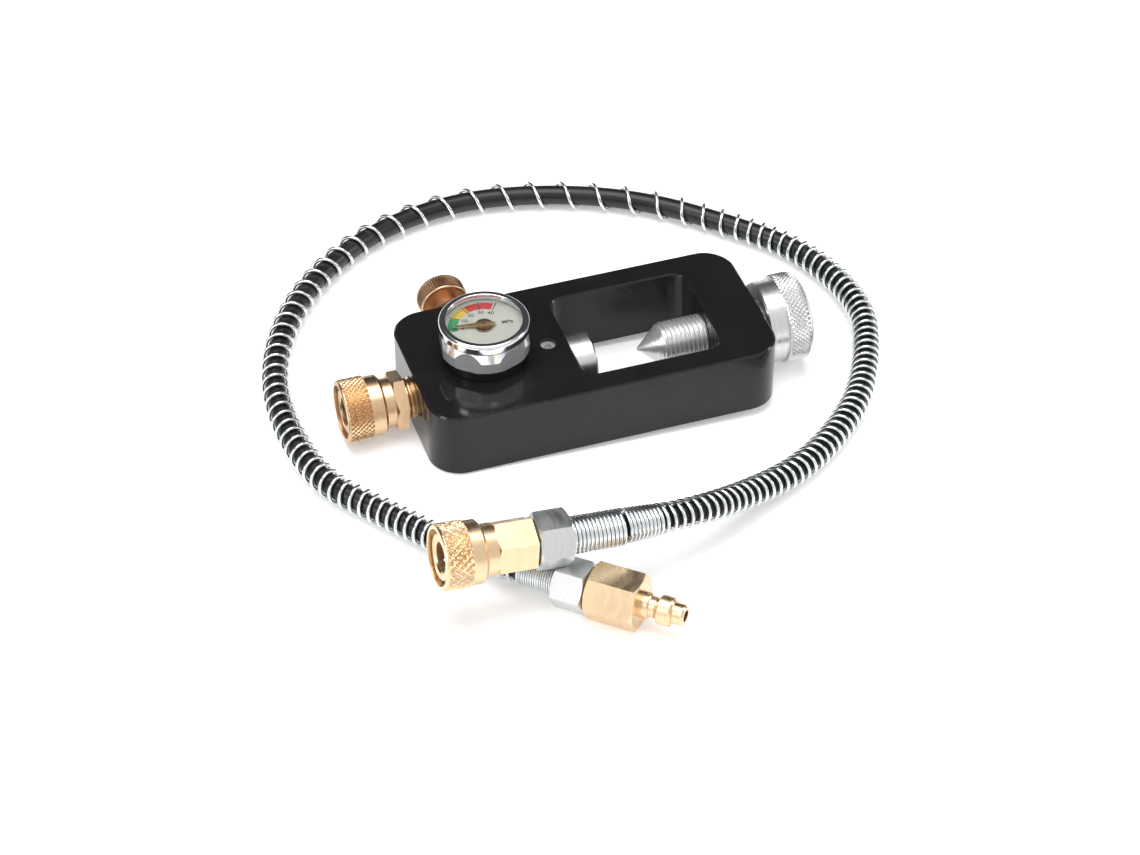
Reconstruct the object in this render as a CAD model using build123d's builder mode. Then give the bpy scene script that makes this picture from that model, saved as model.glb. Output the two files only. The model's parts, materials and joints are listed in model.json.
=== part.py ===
"""Filling yoke for a high-pressure cylinder valve, and the whip hose that goes with it.

Millimetres, +Z up. The yoke is a thick block with a window: a cylinder valve goes into the window
and a hand screw clamps it against a seal insert. The block carries a pressure gauge, a bleed screw
and a quick coupler. The knob of the clamp screw is fatter than half the block, so the yoke leans:
it stands on the block's left bottom edge and on the knob's rim. "Bench" names are in the block's
own level frame, whose origin is under the middle of the block. The part's origin is on the floor,
under the middle of the yoke's box.

A seat is a plane whose x axis is a turning axis, so turned pieces are (along, radius) outlines.
"""
import os
from math import atan2, cos, degrees, radians, sin, sqrt, tan

from build123d import *

os.makedirs("parts", exist_ok=True)

# ---------------------------------------------------------------- yoke block
block_l = 112.0          # along the clamp screw
block_w = 54.0
block_h = 22.0
block_corner = 10.0
block_edge = 0.5
window_l = 45.0
window_w = 38.0
window_x = 16.5          # middle of the window
window_corner = 5.0
clamp_z = block_h / 2    # axis of clamp screw, seal insert and gas passage
port_z = clamp_z + 0.5   # axis of the coupler's port
passage_r = 1.5
port_depth = 10.0

# ---------------------------------------------------------------- clearances
running = 0.05           # radial, a piece that turns or slides in another
snug = 0.03              # radial, pieces that are screwed or pressed together
face_gap = 0.04          # between faces that nearly touch on moving pieces

# ---------------------------------------------------------------- seal insert and its lock screw
insert_r = 9.0
insert_out = 8.0         # how far it stands out of the window's wall
insert_tail_r = 5.0
insert_tail_l = 10.0
insert_mouth_r = 2.6
seat_ring_r = 6.5
seat_cord_r = 0.95
seat_ring_out = 0.4      # how far the seat ring stands proud
tail_cord_r = 0.5
lock_x = -12.3
lock_y = -1.2
lock_r = 2.4
lock_deep = 1.0

# ---------------------------------------------------------------- clamp screw
screw_r = 7.0
screw_pitch = 1.5
thread_depth = 0.85
cone_l = 7.0
tip_gap = 15.3           # from the insert's face to the tip of the cone
shank_r = 5.0
shank_l = 12.5
hub_gap = 1.5            # from the block to the knob
hub_r = 13.0
hub_l = 6.3
rim_r = 14.2
rim_l = 8.4
rim_round = 3.2
rim_edge = 0.3
grub_r = 2.0

# ---------------------------------------------------------------- gauge (heights are above the block)
gauge_x = -32.3
stem_thread_r = 4.85
stem_thread_l = 8.2
stem_r = 5.0
stem_post_r = 2.6
base_ring_r = 12.8
base_ring_bore = 7.2
case_r = 14.0
case_flats = 26.6
case_flat_turn = 50.5    # direction of the first flat, from +X
case_floor = 3.7
case_floor_t = 1.2
case_top = 11.2
case_bore = 12.5
case_shoulder = 7.6      # the round shoulder above the flats starts here
case_neck_r = 13.3
bezel_top = 14.3
bezel_lip_r = 11.8
bezel_round = 1.0
lens_t = 0.9
lens_crown = 0.7
dial_top = 10.7
dial_t = 0.5
shaft_r = 0.5
pointer_t = 0.3
pointer_len = 9.3
pointer_tail = 3.4
pointer_w = 2.0
pointer_tip_w = 0.5
pointer_boss_r = 2.7
pointer_rest = 168.0     # direction of the pointer with no pressure, from +X
tube_r = 8.0             # middle of the bent tube
tube_t = 1.0
tube_h = 3.2
tube_arc = 270.0

# ---------------------------------------------------------------- bleed screw (out of the rear face)
bleed_x = -33.0
bonnet_flats = 12.0
bonnet_out = 7.5
bonnet_thread_r = 5.0
bonnet_in = 9.0
bonnet_washer_t = 0.8
bleed_stem_r = 3.0
bleed_seat_r = 1.0
bleed_hub_r = 4.5
bleed_hub_start = 9.0
bleed_knob_start = 12.6
bleed_knob_l = 6.7
bleed_knob_r = 7.9
bleed_grub_r = 1.4
bleed_cord_r = 0.5

# ---------------------------------------------------------------- quick couplers (along = from the mouth)
coupler_out = 22.5       # mouth of the block's coupler to the block
nose_r = 7.0
nose_start = 0.8
plug_collar_r = 4.4      # largest radius of the mating plug
plug_nose_r = 3.2
plug_bore_depth = 10.8
nose_bore_depth = 14.7
valve_seat_depth = 15.9
valve_seat_r = 2.6
valve_cavity_r = 3.7
neck_r = 7.7
neck_start = 10.2
sleeve_l = 12.7
knurl_l = 8.0
knurl_r = 9.85
front_r = 9.6
band_r = 9.4
snap_start = 1.75
snap_t = 0.65
snap_r = 8.1
counterbore_r = 8.3
ball_at = 4.4
ball_r = 1.6
ball_count = 5
sleeve_step = 5.8
tail_r = 6.5
tail_pitch = 1.34
tail_depth = 0.7
block_hex_start = 15.7
block_hex_l = 3.9
block_hex_flats = 16.0
block_hex_turn = 12.0
block_tail_l = 10.4
hose_hex_start = 16.3
hose_hex_l = 12.0
hose_hex_flats = 14.4
hose_hex_turn = 53.0      # angle of a corner from straight up
hose_tail_l = 7.7

# ---------------------------------------------------------------- hose and its fittings
hose_r = 3.2
hose_bore = 1.5
guard_gap = 0.2          # between the hose and its spring guard
guard_wire = 1.25
ferrule_a_wall = 1.07
ferrule_b_wall = 0.77
end_spring_gap = 0.1     # between a ferrule and its end spring
end_spring_a_wire = 1.3
end_spring_a_l = 17.7
end_spring_b_wire = 0.7
end_spring_b_l = 12.0
barb_gap = 0.05
washer_t = 0.65
nut_a_wall = 1.1         # from the thread to a flat
nut_a_l = 10.5
nut_b_flats = 14.0
nut_b_l = 10.0
nut_floor = 1.6
adapter_flats = 15.4
adapter_l = 15.6
adapter_thread_r = 5.0
plug_bore_r = 1.75
plug_base_r = 3.9
plug_base_l = 2.9
plug_small_r = 3.15
plug_small_l = 1.8
plug_neck_r = 2.65
plug_neck_l = 0.8
plug_collar_l = 4.6
plug_nose_l = 3.5

# radii that follow from those: the guard's outside lies on the floor
guard_bore = hose_r + guard_gap
guard_r = guard_bore + guard_wire
ferrule_a_r = hose_r + snug + ferrule_a_wall
ferrule_b_r = hose_r + snug + ferrule_b_wall
end_spring_a_bore = ferrule_a_r + end_spring_gap
end_spring_a_r = end_spring_a_bore + end_spring_a_wire
end_spring_b_bore = ferrule_b_r + end_spring_gap
end_spring_b_r = end_spring_b_bore + end_spring_b_wire
barb_r = hose_bore - barb_gap

# where the two hose ends lie, and the hose's route over the floor between them
coupler_mouth = Vector(-70.7, -95.2, 25.0)
coupler_way = Vector(34.1, 0.9, -2.7)
plug_end = Vector(-34.1, -96.1, 7.15)
plug_way = Vector(0.7316, -0.6798, 0.0519)
first_run = 33.4
last_run = 29.0
hose_route = [
    (33.0, -78.3, 8.5),
    (57.0, -67.0, guard_r),
    (80.5, -46.5, guard_r),
    (93.5, -24.0, guard_r),
    (102.0, 0.0, guard_r),
    (95.0, 30.5, guard_r),
    (77.0, 52.0, guard_r),
    (51.0, 75.0, guard_r),
    (20.0, 87.5, guard_r),
    (-10.5, 91.0, guard_r),
    (-42.0, 81.5, guard_r),
    (-68.0, 60.5, guard_r),
    (-85.0, 34.0, guard_r),
    (-92.5, 5.0, guard_r),
    (-89.0, -31.0, guard_r),
    (-73.5, -51.0, guard_r),
]

# ---------------------------------------------------------------- the yoke's lean and the origin
hub_x = block_l / 2 + hub_gap
rim_x = hub_x + hub_l
knob_end = rim_x + rim_l
bleed_end = bleed_knob_start + bleed_knob_l
lean = atan2(rim_r - clamp_z, rim_x + rim_edge + block_l / 2 - block_edge)
box_left = -(block_l / 2 + coupler_out) * cos(lean) - (port_z + front_r) * sin(lean)
box_right = knob_end * cos(lean) - (clamp_z - rim_r + rim_round) * sin(lean)
bench = Plane(
    Location(
        (-(box_left + box_right) / 2, -bleed_end / 2, (block_l / 2 - block_edge) * sin(lean)),
        (0, -degrees(lean), 0),
    )
)


def on_bench(x: float, y: float, z: float) -> Vector:
    """Point of the part's frame for a point of the block's own frame."""
    return bench.from_local_coords(Vector(x, y, z))


def seat_along(origin: Vector, way: Vector) -> Plane:
    """Seat for a piece that lies along a slanted line, with its y axis upward."""
    return Plane(origin=origin, x_dir=way.normalized(), z_dir=way.cross(Vector(0, 0, 1)).normalized())


clamp_seat = Plane(origin=on_bench(0, 0, clamp_z), x_dir=bench.x_dir, z_dir=-bench.y_dir)
mouth_seat = Plane(
    origin=on_bench(-block_l / 2 - coupler_out, 0, port_z), x_dir=bench.x_dir, z_dir=-bench.y_dir
)
gauge_seat = Plane(origin=on_bench(gauge_x, 0, block_h), x_dir=bench.z_dir, z_dir=bench.y_dir)
lock_seat = Plane(origin=on_bench(lock_x, lock_y, block_h), x_dir=bench.z_dir, z_dir=bench.y_dir)
bleed_seat = Plane(origin=on_bench(bleed_x, block_w / 2, clamp_z), x_dir=bench.y_dir, z_dir=bench.x_dir)
hose_seat = seat_along(coupler_mouth, coupler_way)
plug_seat = seat_along(plug_end, plug_way)


# ---------------------------------------------------------------- shapes that repeat
def turn(seat: Plane, points: list, mode: Mode = Mode.ADD):
    """Turn a closed outline of (along, radius) points about the seat's x axis."""
    with BuildSketch(seat) as profile:
        with BuildLine():
            Polyline(*points, close=True)
        make_face()
    revolve(profile.sketch, axis=Axis(seat.origin, seat.x_dir), mode=mode)


def bar(seat: Plane, start: float, end: float, radius: float, mode: Mode = Mode.ADD):
    """Round bar, or a drilled hole with Mode.SUBTRACT."""
    turn(seat, [(start, 0), (end, 0), (end, radius), (start, radius)], mode)


def collar(seat: Plane, start: float, end: float, inner: float, outer: float, mode: Mode = Mode.ADD):
    """Plain ring with flat ends."""
    turn(seat, [(start, inner), (end, inner), (end, outer), (start, outer)], mode)


def cord_ring(seat: Plane, along: float, middle: float, cord: float):
    """O-ring: middle is the radius of the ring's middle line and cord the radius of its section."""
    with BuildSketch(seat) as profile:
        with Locations((along, middle)):
            Circle(cord)
    revolve(profile.sketch, axis=Axis(seat.origin, seat.x_dir))


def across(seat: Plane, along: float) -> Plane:
    """Plane square to the seat's axis, facing along it."""
    origin = seat.from_local_coords(Vector(along, 0, 0))
    return Plane(origin=origin, x_dir=seat.y_dir, z_dir=seat.x_dir)


def hexagon(seat: Plane, start: float, end: float, flats: float, turned: float, bevel: tuple = (1, 1)):
    """Hexagon bar with its corners bevelled like a nut's; bevel scales the two ends' bevels."""
    with BuildSketch(across(seat, start)) as profile:
        RegularPolygon(radius=flats / 2, side_count=6, major_radius=False, rotation=turned)
    extrude(profile.sketch, amount=end - start)
    corner = flats / sqrt(3)
    face = flats / 2 * 0.99
    depth = (corner - face) * tan(radians(30))
    outline = [
        (start, 0),
        (start, corner - (corner - face) * bevel[0]),
        (start + depth * bevel[0], corner),
        (end - depth * bevel[1], corner),
        (end, corner - (corner - face) * bevel[1]),
        (end, 0),
    ]
    once = [point for index, point in enumerate(outline) if point not in outline[:index]]
    turn(seat, once, Mode.INTERSECT)


def thread(start: float, end: float, major: float, pitch: float, depth: float) -> list:
    """Outline points of a threaded stretch: one ring of thread for each pitch."""
    turns = int((end - start) / pitch)
    points = []
    for ring in range(turns):
        left = start + ring * pitch
        points += [
            (left, major - depth),
            (left + 0.4 * pitch, major),
            (left + 0.6 * pitch, major),
        ]
    points.append((start + turns * pitch, major - depth))
    return points


def radial(seat: Plane, along: float, angle: float) -> Plane:
    """Plane on the seat's axis that faces outward at an angle from the seat's y axis."""
    out = Vector(seat.y_dir).rotate(Axis((0, 0, 0), seat.x_dir), angle)
    return Plane(origin=seat.from_local_coords(Vector(along, 0, 0)), x_dir=seat.x_dir, z_dir=out)


def round_boss(plane: Plane, start: float, end: float, radius: float, mode: Mode = Mode.ADD):
    """Cylinder along a plane's normal, from start to end."""
    with BuildSketch(plane.offset(start)) as profile:
        Circle(radius)
    extrude(profile.sketch, amount=end - start, mode=mode)


def save(piece: BuildPart, name: str):
    """Label a finished piece and write its file."""
    piece.part.label = name
    export_step(piece.part, f"parts/{name}.step")


# ---------------------------------------------------------------- yoke block
window_left = window_x - window_l / 2
window_right = window_x + window_l / 2

with BuildPart() as yoke_block:
    with BuildSketch(bench) as plan:
        RectangleRounded(block_l, block_w, block_corner)
        with Locations((window_x, 0)):
            RectangleRounded(window_l, window_w, window_corner, mode=Mode.SUBTRACT)
    extrude(amount=block_h)
    end_faces = yoke_block.faces().sort_by(Axis(bench.origin, bench.z_dir))
    chamfer((end_faces[0] + end_faces[-1]).edges(), block_edge)
    # clamp screw's tapped bore, through the right-hand wall
    bar(clamp_seat, window_right - 1, block_l / 2 + 1, screw_r + running, Mode.SUBTRACT)
    # seal insert's bore and the gas passage on to the coupler's port
    tail_end = window_left - insert_tail_l
    bar(clamp_seat, tail_end - 0.5, window_left + 1, insert_tail_r + snug, Mode.SUBTRACT)
    bar(clamp_seat, -block_l / 2 + port_depth - 0.5, tail_end, passage_r, Mode.SUBTRACT)
    bar(mouth_seat, coupler_out - 1, coupler_out + port_depth, tail_r + snug, Mode.SUBTRACT)
    # gauge port
    bar(gauge_seat, -stem_thread_l - 0.3, 1, stem_thread_r + snug, Mode.SUBTRACT)
    bar(gauge_seat, clamp_z - block_h, -stem_thread_l, passage_r - 0.3, Mode.SUBTRACT)
    # bleed port, its seat and its drilling
    bar(bleed_seat, -bonnet_in - 0.5, 1, bonnet_thread_r + snug, Mode.SUBTRACT)
    bar(bleed_seat, -bonnet_in - 2, -bonnet_in, bleed_stem_r - 0.8, Mode.SUBTRACT)
    bar(bleed_seat, -block_w / 2, -bonnet_in - 1, bleed_seat_r, Mode.SUBTRACT)
    # lock screw's tapped hole, down to the insert's tail
    bar(lock_seat, clamp_z + insert_tail_r - block_h - 0.5, 1, lock_r + snug, Mode.SUBTRACT)
save(yoke_block, "yoke_block")

# ---------------------------------------------------------------- seal insert
insert_face = window_left + insert_out
groove_r = seat_ring_r + seat_cord_r + 0.05
groove_in = seat_ring_r - seat_cord_r - 0.05
groove_deep = 2 * seat_cord_r - seat_ring_out

tail_groove_x = window_left - insert_tail_l + 3
tail_ring_r = insert_tail_r - tail_cord_r + 0.02

with BuildPart() as seal_insert:
    turn(
        clamp_seat,
        [
            (window_left - insert_tail_l, passage_r),
            (window_left - insert_tail_l, insert_tail_r - 0.5),
            (window_left - insert_tail_l + 0.5, insert_tail_r),
            (tail_groove_x - 0.7, insert_tail_r),
            (tail_groove_x - 0.7, insert_tail_r - 1),
            (tail_groove_x + 0.7, insert_tail_r - 1),
            (tail_groove_x + 0.7, insert_tail_r),
            (window_left, insert_tail_r),
            (window_left, insert_r),
            (insert_face - 0.6, insert_r),
            (insert_face, insert_r - 0.6),
            (insert_face, groove_r),
            (insert_face - groove_deep, groove_r),
            (insert_face - groove_deep, groove_in),
            (insert_face, groove_in),
            (insert_face, insert_mouth_r),
            (insert_face - 1.1, passage_r),
        ],
    )
save(seal_insert, "seal_insert")

with BuildPart() as valve_seat_ring:
    cord_ring(clamp_seat, insert_face - groove_deep + seat_cord_r, seat_ring_r, seat_cord_r)
save(valve_seat_ring, "valve_seat_ring")

with BuildPart() as insert_tail_ring:
    cord_ring(clamp_seat, tail_groove_x, tail_ring_r, tail_cord_r)
save(insert_tail_ring, "insert_tail_ring")

lock_bottom = clamp_z + insert_tail_r + snug + face_gap - block_h

with BuildPart() as lock_screw:
    bar(lock_seat, lock_bottom, -lock_deep, lock_r)
    with BuildSketch(across(lock_seat, -lock_deep)) as socket:
        RegularPolygon(radius=lock_r * 0.52, side_count=6, major_radius=False)
    extrude(socket.sketch, amount=(lock_bottom + lock_deep) / 2, mode=Mode.SUBTRACT)
save(lock_screw, "lock_screw")

# ---------------------------------------------------------------- clamp screw and knob
tip_x = insert_face + tip_gap
thread_start = tip_x + cone_l
shank_end = hub_x + shank_l

with BuildPart() as clamp_spindle:
    ridges = thread(thread_start + 0.4, hub_x - face_gap, screw_r, screw_pitch, thread_depth)
    ridges_end = ridges[-1][0]
    turn(
        clamp_seat,
        [(tip_x, 0), (tip_x + 0.2, 0.4), (thread_start, screw_r - 0.25)]
        + ridges
        + [
            (ridges_end, shank_r),
            (shank_end - 0.6, shank_r),
            (shank_end, shank_r - 0.6),
            (shank_end, 0),
        ],
    )
save(clamp_spindle, "clamp_spindle")

grub_along = hub_x + hub_l / 2
grub_angle = 200.0

with BuildPart() as clamp_knob:
    turn(
        clamp_seat,
        [
            (hub_x, shank_r + running),
            (hub_x, hub_r - 0.5),
            (hub_x + 0.5, hub_r),
            (rim_x, hub_r),
            (rim_x, rim_r - rim_edge),
            (rim_x + rim_edge, rim_r),
            (knob_end, rim_r),
            (knob_end, 0),
            (shank_end + 0.3, 0),
            (shank_end + 0.3, shank_r + running),
        ],
    )
    screw_axis = Axis(clamp_seat.origin, bench.x_dir)
    circles = clamp_knob.edges().filter_by(GeomType.CIRCLE).sort_by(screw_axis)
    fillet(circles[-1], rim_round)
    collar(clamp_seat, knob_end - 0.5, knob_end + 1, 0, rim_r - rim_round - 1.5, Mode.SUBTRACT)
    grub_seat = radial(clamp_seat, grub_along, grub_angle)
    round_boss(grub_seat, shank_r, hub_r + 2, grub_r + snug, Mode.SUBTRACT)
save(clamp_knob, "clamp_knob")

with BuildPart() as knob_grub_screw:
    grub_plane = radial(clamp_seat, grub_along, grub_angle)
    round_boss(grub_plane, shank_r + face_gap, hub_r - 0.8, grub_r)
    with BuildSketch(grub_plane.offset(hub_r - 0.8)) as socket:
        RegularPolygon(radius=grub_r * 0.52, side_count=6, major_radius=False)
    extrude(socket.sketch, amount=-2.5, mode=Mode.SUBTRACT)
save(knob_grub_screw, "knob_grub_screw")

# ---------------------------------------------------------------- gauge
floor_top = case_floor + case_floor_t
dial_bottom = dial_top - dial_t
tube_low = floor_top + 0.7
link_low = tube_low + tube_h

with BuildPart() as gauge_stem:
    turn(
        gauge_seat,
        [(-stem_thread_l, 0.8), (-stem_thread_l, stem_thread_r - 0.6)]
        + thread(-stem_thread_l + 0.3, -0.4, stem_thread_r, 0.9, 0.5)
        + [
            (0.02, stem_thread_r - 0.5),
            (0.02, stem_r),
            (floor_top + 0.4, stem_r),
            (floor_top + 0.4, stem_post_r),
            (link_low - 0.1, stem_post_r),
            (link_low - 0.1, shaft_r + running),
            (7.0, shaft_r + running),
            (7.0, 0),
            (6.4, 0),
            (6.4, 0.8),
        ],
    )
    # arm that carries the fixed end of the bent tube, flush with the tube's inner wall
    with BuildSketch(across(gauge_seat, tube_low)) as arm:
        with Locations(((tube_r - tube_t / 2) / 2 + 1, 0)):
            Rectangle(tube_r - tube_t / 2 - 2.2, 1.8)
    extrude(arm.sketch, amount=tube_h - 0.4)
save(gauge_stem, "gauge_stem")

with BuildPart() as gauge_seal:
    collar(gauge_seat, 0.02, 1.3, stem_r + 0.05, base_ring_bore - 0.1)
save(gauge_seal, "gauge_seal")

with BuildPart() as gauge_base_ring:
    turn(
        gauge_seat,
        [
            (0.02, base_ring_bore),
            (0.02, base_ring_r - 0.4),
            (0.4, base_ring_r),
            (case_floor - 0.02, base_ring_r),
            (case_floor - 0.02, base_ring_bore),
        ],
    )
save(gauge_base_ring, "gauge_base_ring")

with BuildPart() as gauge_case:
    with BuildSketch(across(gauge_seat, case_floor)) as flats:
        RegularPolygon(
            radius=case_flats / 2,
            side_count=6,
            major_radius=False,
            rotation=case_flat_turn + 30,
        )
    extrude(flats.sketch, amount=case_top - case_floor)
    turn(
        gauge_seat,
        [
            (case_floor, 0),
            (case_floor, case_r - 0.4),
            (case_floor + 0.4, case_r),
            (case_shoulder, case_r),
            (case_top - 0.6, case_neck_r),
            (case_top, case_neck_r),
            (case_top, 0),
        ],
        Mode.INTERSECT,
    )
    bar(gauge_seat, floor_top, case_top + 1, case_bore, Mode.SUBTRACT)
    bar(gauge_seat, case_floor - 1, floor_top + 1, stem_r + snug, Mode.SUBTRACT)
save(gauge_case, "gauge_case")

lens_low = bezel_top - 0.75 - lens_t

with BuildPart() as gauge_bezel:
    turn(
        gauge_seat,
        [
            (case_top + 0.02, case_bore),
            (case_top + 0.02, case_r - 0.3),
            (case_top + 0.32, case_r),
            (bezel_top, case_r),
            (bezel_top, bezel_lip_r),
            (lens_low + lens_t + snug, bezel_lip_r),
            (lens_low + lens_t + snug, case_bore + 0.4 + snug),
            (lens_low - snug, case_bore + 0.4 + snug),
            (lens_low - snug, case_bore),
        ],
    )
    upward = Axis(bench.origin, bench.z_dir)
    top_edges = gauge_bezel.faces().sort_by(upward)[-1].edges()
    fillet(top_edges.sort_by(SortBy.LENGTH)[-1], bezel_round)
    top_edges = gauge_bezel.faces().sort_by(upward)[-1].edges()
    fillet(top_edges.sort_by(SortBy.LENGTH)[0], 0.3)
save(gauge_bezel, "gauge_bezel")

lens_dome_r = bezel_lip_r - 0.1
lens_sphere_r = (lens_dome_r**2 + lens_crown**2) / (2 * lens_crown)
lens_peak = lens_low + lens_t + lens_crown

with BuildPart() as gauge_lens:
    with BuildSketch(gauge_seat) as profile:
        with BuildLine():
            Line((lens_low, 0), (lens_low, case_bore + 0.4))
            Line((lens_low, case_bore + 0.4), (lens_low + lens_t, case_bore + 0.4))
            Line((lens_low + lens_t, case_bore + 0.4), (lens_low + lens_t, lens_dome_r))
            RadiusArc((lens_low + lens_t, lens_dome_r), (lens_peak, 0), lens_sphere_r)
            Line((lens_peak, 0), (lens_low, 0))
        make_face()
    revolve(profile.sketch, axis=Axis(gauge_seat.origin, gauge_seat.x_dir))
save(gauge_lens, "gauge_lens")

with BuildPart() as gauge_dial:
    collar(gauge_seat, dial_bottom, dial_top, shaft_r + 0.4, case_bore - 0.1)
save(gauge_dial, "gauge_dial")

with BuildPart() as bourdon_tube:
    with BuildSketch(gauge_seat) as section:
        with Locations((tube_low + tube_h / 2, tube_r)):
            RectangleRounded(tube_h, tube_t, tube_t * 0.4)
    revolve(section.sketch, axis=Axis(gauge_seat.origin, gauge_seat.x_dir), revolution_arc=tube_arc)
save(bourdon_tube, "bourdon_tube")

link_plane = Plane(
    origin=gauge_seat.from_local_coords(Vector(link_low, 0, 0)),
    x_dir=Vector(gauge_seat.y_dir).rotate(Axis((0, 0, 0), gauge_seat.x_dir), tube_arc - 4),
    z_dir=gauge_seat.x_dir,
)

with BuildPart() as gauge_link:
    with BuildSketch(link_plane.offset(0.02)) as plan:
        with Locations((tube_r / 2, 0)):
            SlotOverall(tube_r + 1.6, 1.6)
        Circle(shaft_r + running, mode=Mode.SUBTRACT)
    extrude(plan.sketch, amount=0.4)
save(gauge_link, "gauge_link")

pointer_low = dial_top + 0.25
boss_t = 0.4
pointer_plane = Plane(
    origin=gauge_seat.from_local_coords(Vector(pointer_low + boss_t, 0, 0)),
    x_dir=Vector(bench.x_dir).rotate(Axis((0, 0, 0), bench.z_dir), pointer_rest),
    z_dir=bench.z_dir,
)

with BuildPart() as pointer_shaft:
    bar(gauge_seat, 7.2, pointer_low + boss_t + pointer_t + 0.2, shaft_r)
save(pointer_shaft, "pointer_shaft")

with BuildPart() as pointer_boss:
    collar(gauge_seat, pointer_low, pointer_low + boss_t, shaft_r, pointer_boss_r)
save(pointer_boss, "pointer_boss")

with BuildPart() as gauge_pointer:
    with BuildSketch(pointer_plane) as plan:
        with BuildLine():
            Polyline(
                (-pointer_tail, -pointer_w * 0.3),
                (0, -pointer_w / 2),
                (pointer_len, -pointer_tip_w / 2),
                (pointer_len, pointer_tip_w / 2),
                (0, pointer_w / 2),
                (-pointer_tail, pointer_w * 0.3),
                close=True,
            )
        make_face()
        Circle(shaft_r, mode=Mode.SUBTRACT)
    extrude(plan.sketch, amount=pointer_t)
save(gauge_pointer, "gauge_pointer")

# ---------------------------------------------------------------- bleed screw
stem_tip = -bonnet_in - 2 - 0.95 * bleed_seat_r
bleed_groove = 3.6
vent_at = 1.9

with BuildPart() as bleed_bonnet:
    hexagon(bleed_seat, bonnet_washer_t, bonnet_out, bonnet_flats, 0, (0, 1))
    turn(
        bleed_seat,
        [
            (bonnet_washer_t, 0),
            (bonnet_washer_t, bonnet_thread_r - 0.6),
            (-bonnet_in, bonnet_thread_r - 0.6),
            (-bonnet_in, 0),
        ],
    )
    turn(
        bleed_seat,
        [(-bonnet_in, 0)] + thread(-bonnet_in + 0.2, 0, bonnet_thread_r, 1.0, 0.6) + [(0, 0)],
    )
    bar(bleed_seat, -bonnet_in - 1, bonnet_out + 1, bleed_stem_r + running, Mode.SUBTRACT)
    round_boss(radial(bleed_seat, vent_at, 30), 0, bonnet_flats, 0.6, Mode.SUBTRACT)
save(bleed_bonnet, "bleed_bonnet")

with BuildPart() as bonnet_washer:
    collar(bleed_seat, 0, bonnet_washer_t, bonnet_thread_r - 0.55, bonnet_flats / 2)
save(bonnet_washer, "bonnet_washer")

with BuildPart() as bleed_stem:
    turn(
        bleed_seat,
        [
            (stem_tip, 0),
            (stem_tip + 2, 2),
            (-bonnet_in - 0.2, 2),
            (-bonnet_in + 0.2, bleed_stem_r),
            (bleed_groove - 0.6, bleed_stem_r),
            (bleed_groove - 0.6, bleed_stem_r - 2 * bleed_cord_r),
            (bleed_groove + 0.6, bleed_stem_r - 2 * bleed_cord_r),
            (bleed_groove + 0.6, bleed_stem_r),
            (bleed_end - 2.3, bleed_stem_r),
            (bleed_end - 2.3, 0),
        ],
    )
save(bleed_stem, "bleed_stem")

with BuildPart() as bleed_stem_ring:
    cord_ring(bleed_seat, bleed_groove, bleed_stem_r - bleed_cord_r + 0.03, bleed_cord_r)
save(bleed_stem_ring, "bleed_stem_ring")

bleed_grub_at = (bleed_hub_start + bleed_knob_start) / 2

with BuildPart() as bleed_knob:
    turn(
        bleed_seat,
        [
            (bleed_hub_start, bleed_stem_r + running),
            (bleed_hub_start, bleed_hub_r),
            (bleed_knob_start, bleed_hub_r),
            (bleed_knob_start, bleed_knob_r - 0.8),
            (bleed_knob_start + 0.8, bleed_knob_r),
            (bleed_end - 0.8, bleed_knob_r),
            (bleed_end, bleed_knob_r - 0.8),
            (bleed_end, 0),
            (bleed_end - 2, 0),
            (bleed_end - 2, bleed_stem_r + running),
        ],
    )
    grub_seat = radial(bleed_seat, bleed_grub_at, 150)
    round_boss(grub_seat, 0, bleed_hub_r + 1, bleed_grub_r + snug, Mode.SUBTRACT)
save(bleed_knob, "bleed_knob")

with BuildPart() as bleed_grub_screw:
    grub_plane = radial(bleed_seat, bleed_grub_at, 150)
    round_boss(grub_plane, bleed_stem_r + face_gap, bleed_hub_r - 0.1, bleed_grub_r)
    with BuildSketch(grub_plane.offset(bleed_hub_r - 0.1)) as socket:
        RegularPolygon(radius=bleed_grub_r * 0.5, side_count=6, major_radius=False)
    extrude(socket.sketch, amount=-0.8, mode=Mode.SUBTRACT)
save(bleed_grub_screw, "bleed_grub_screw")


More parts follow.
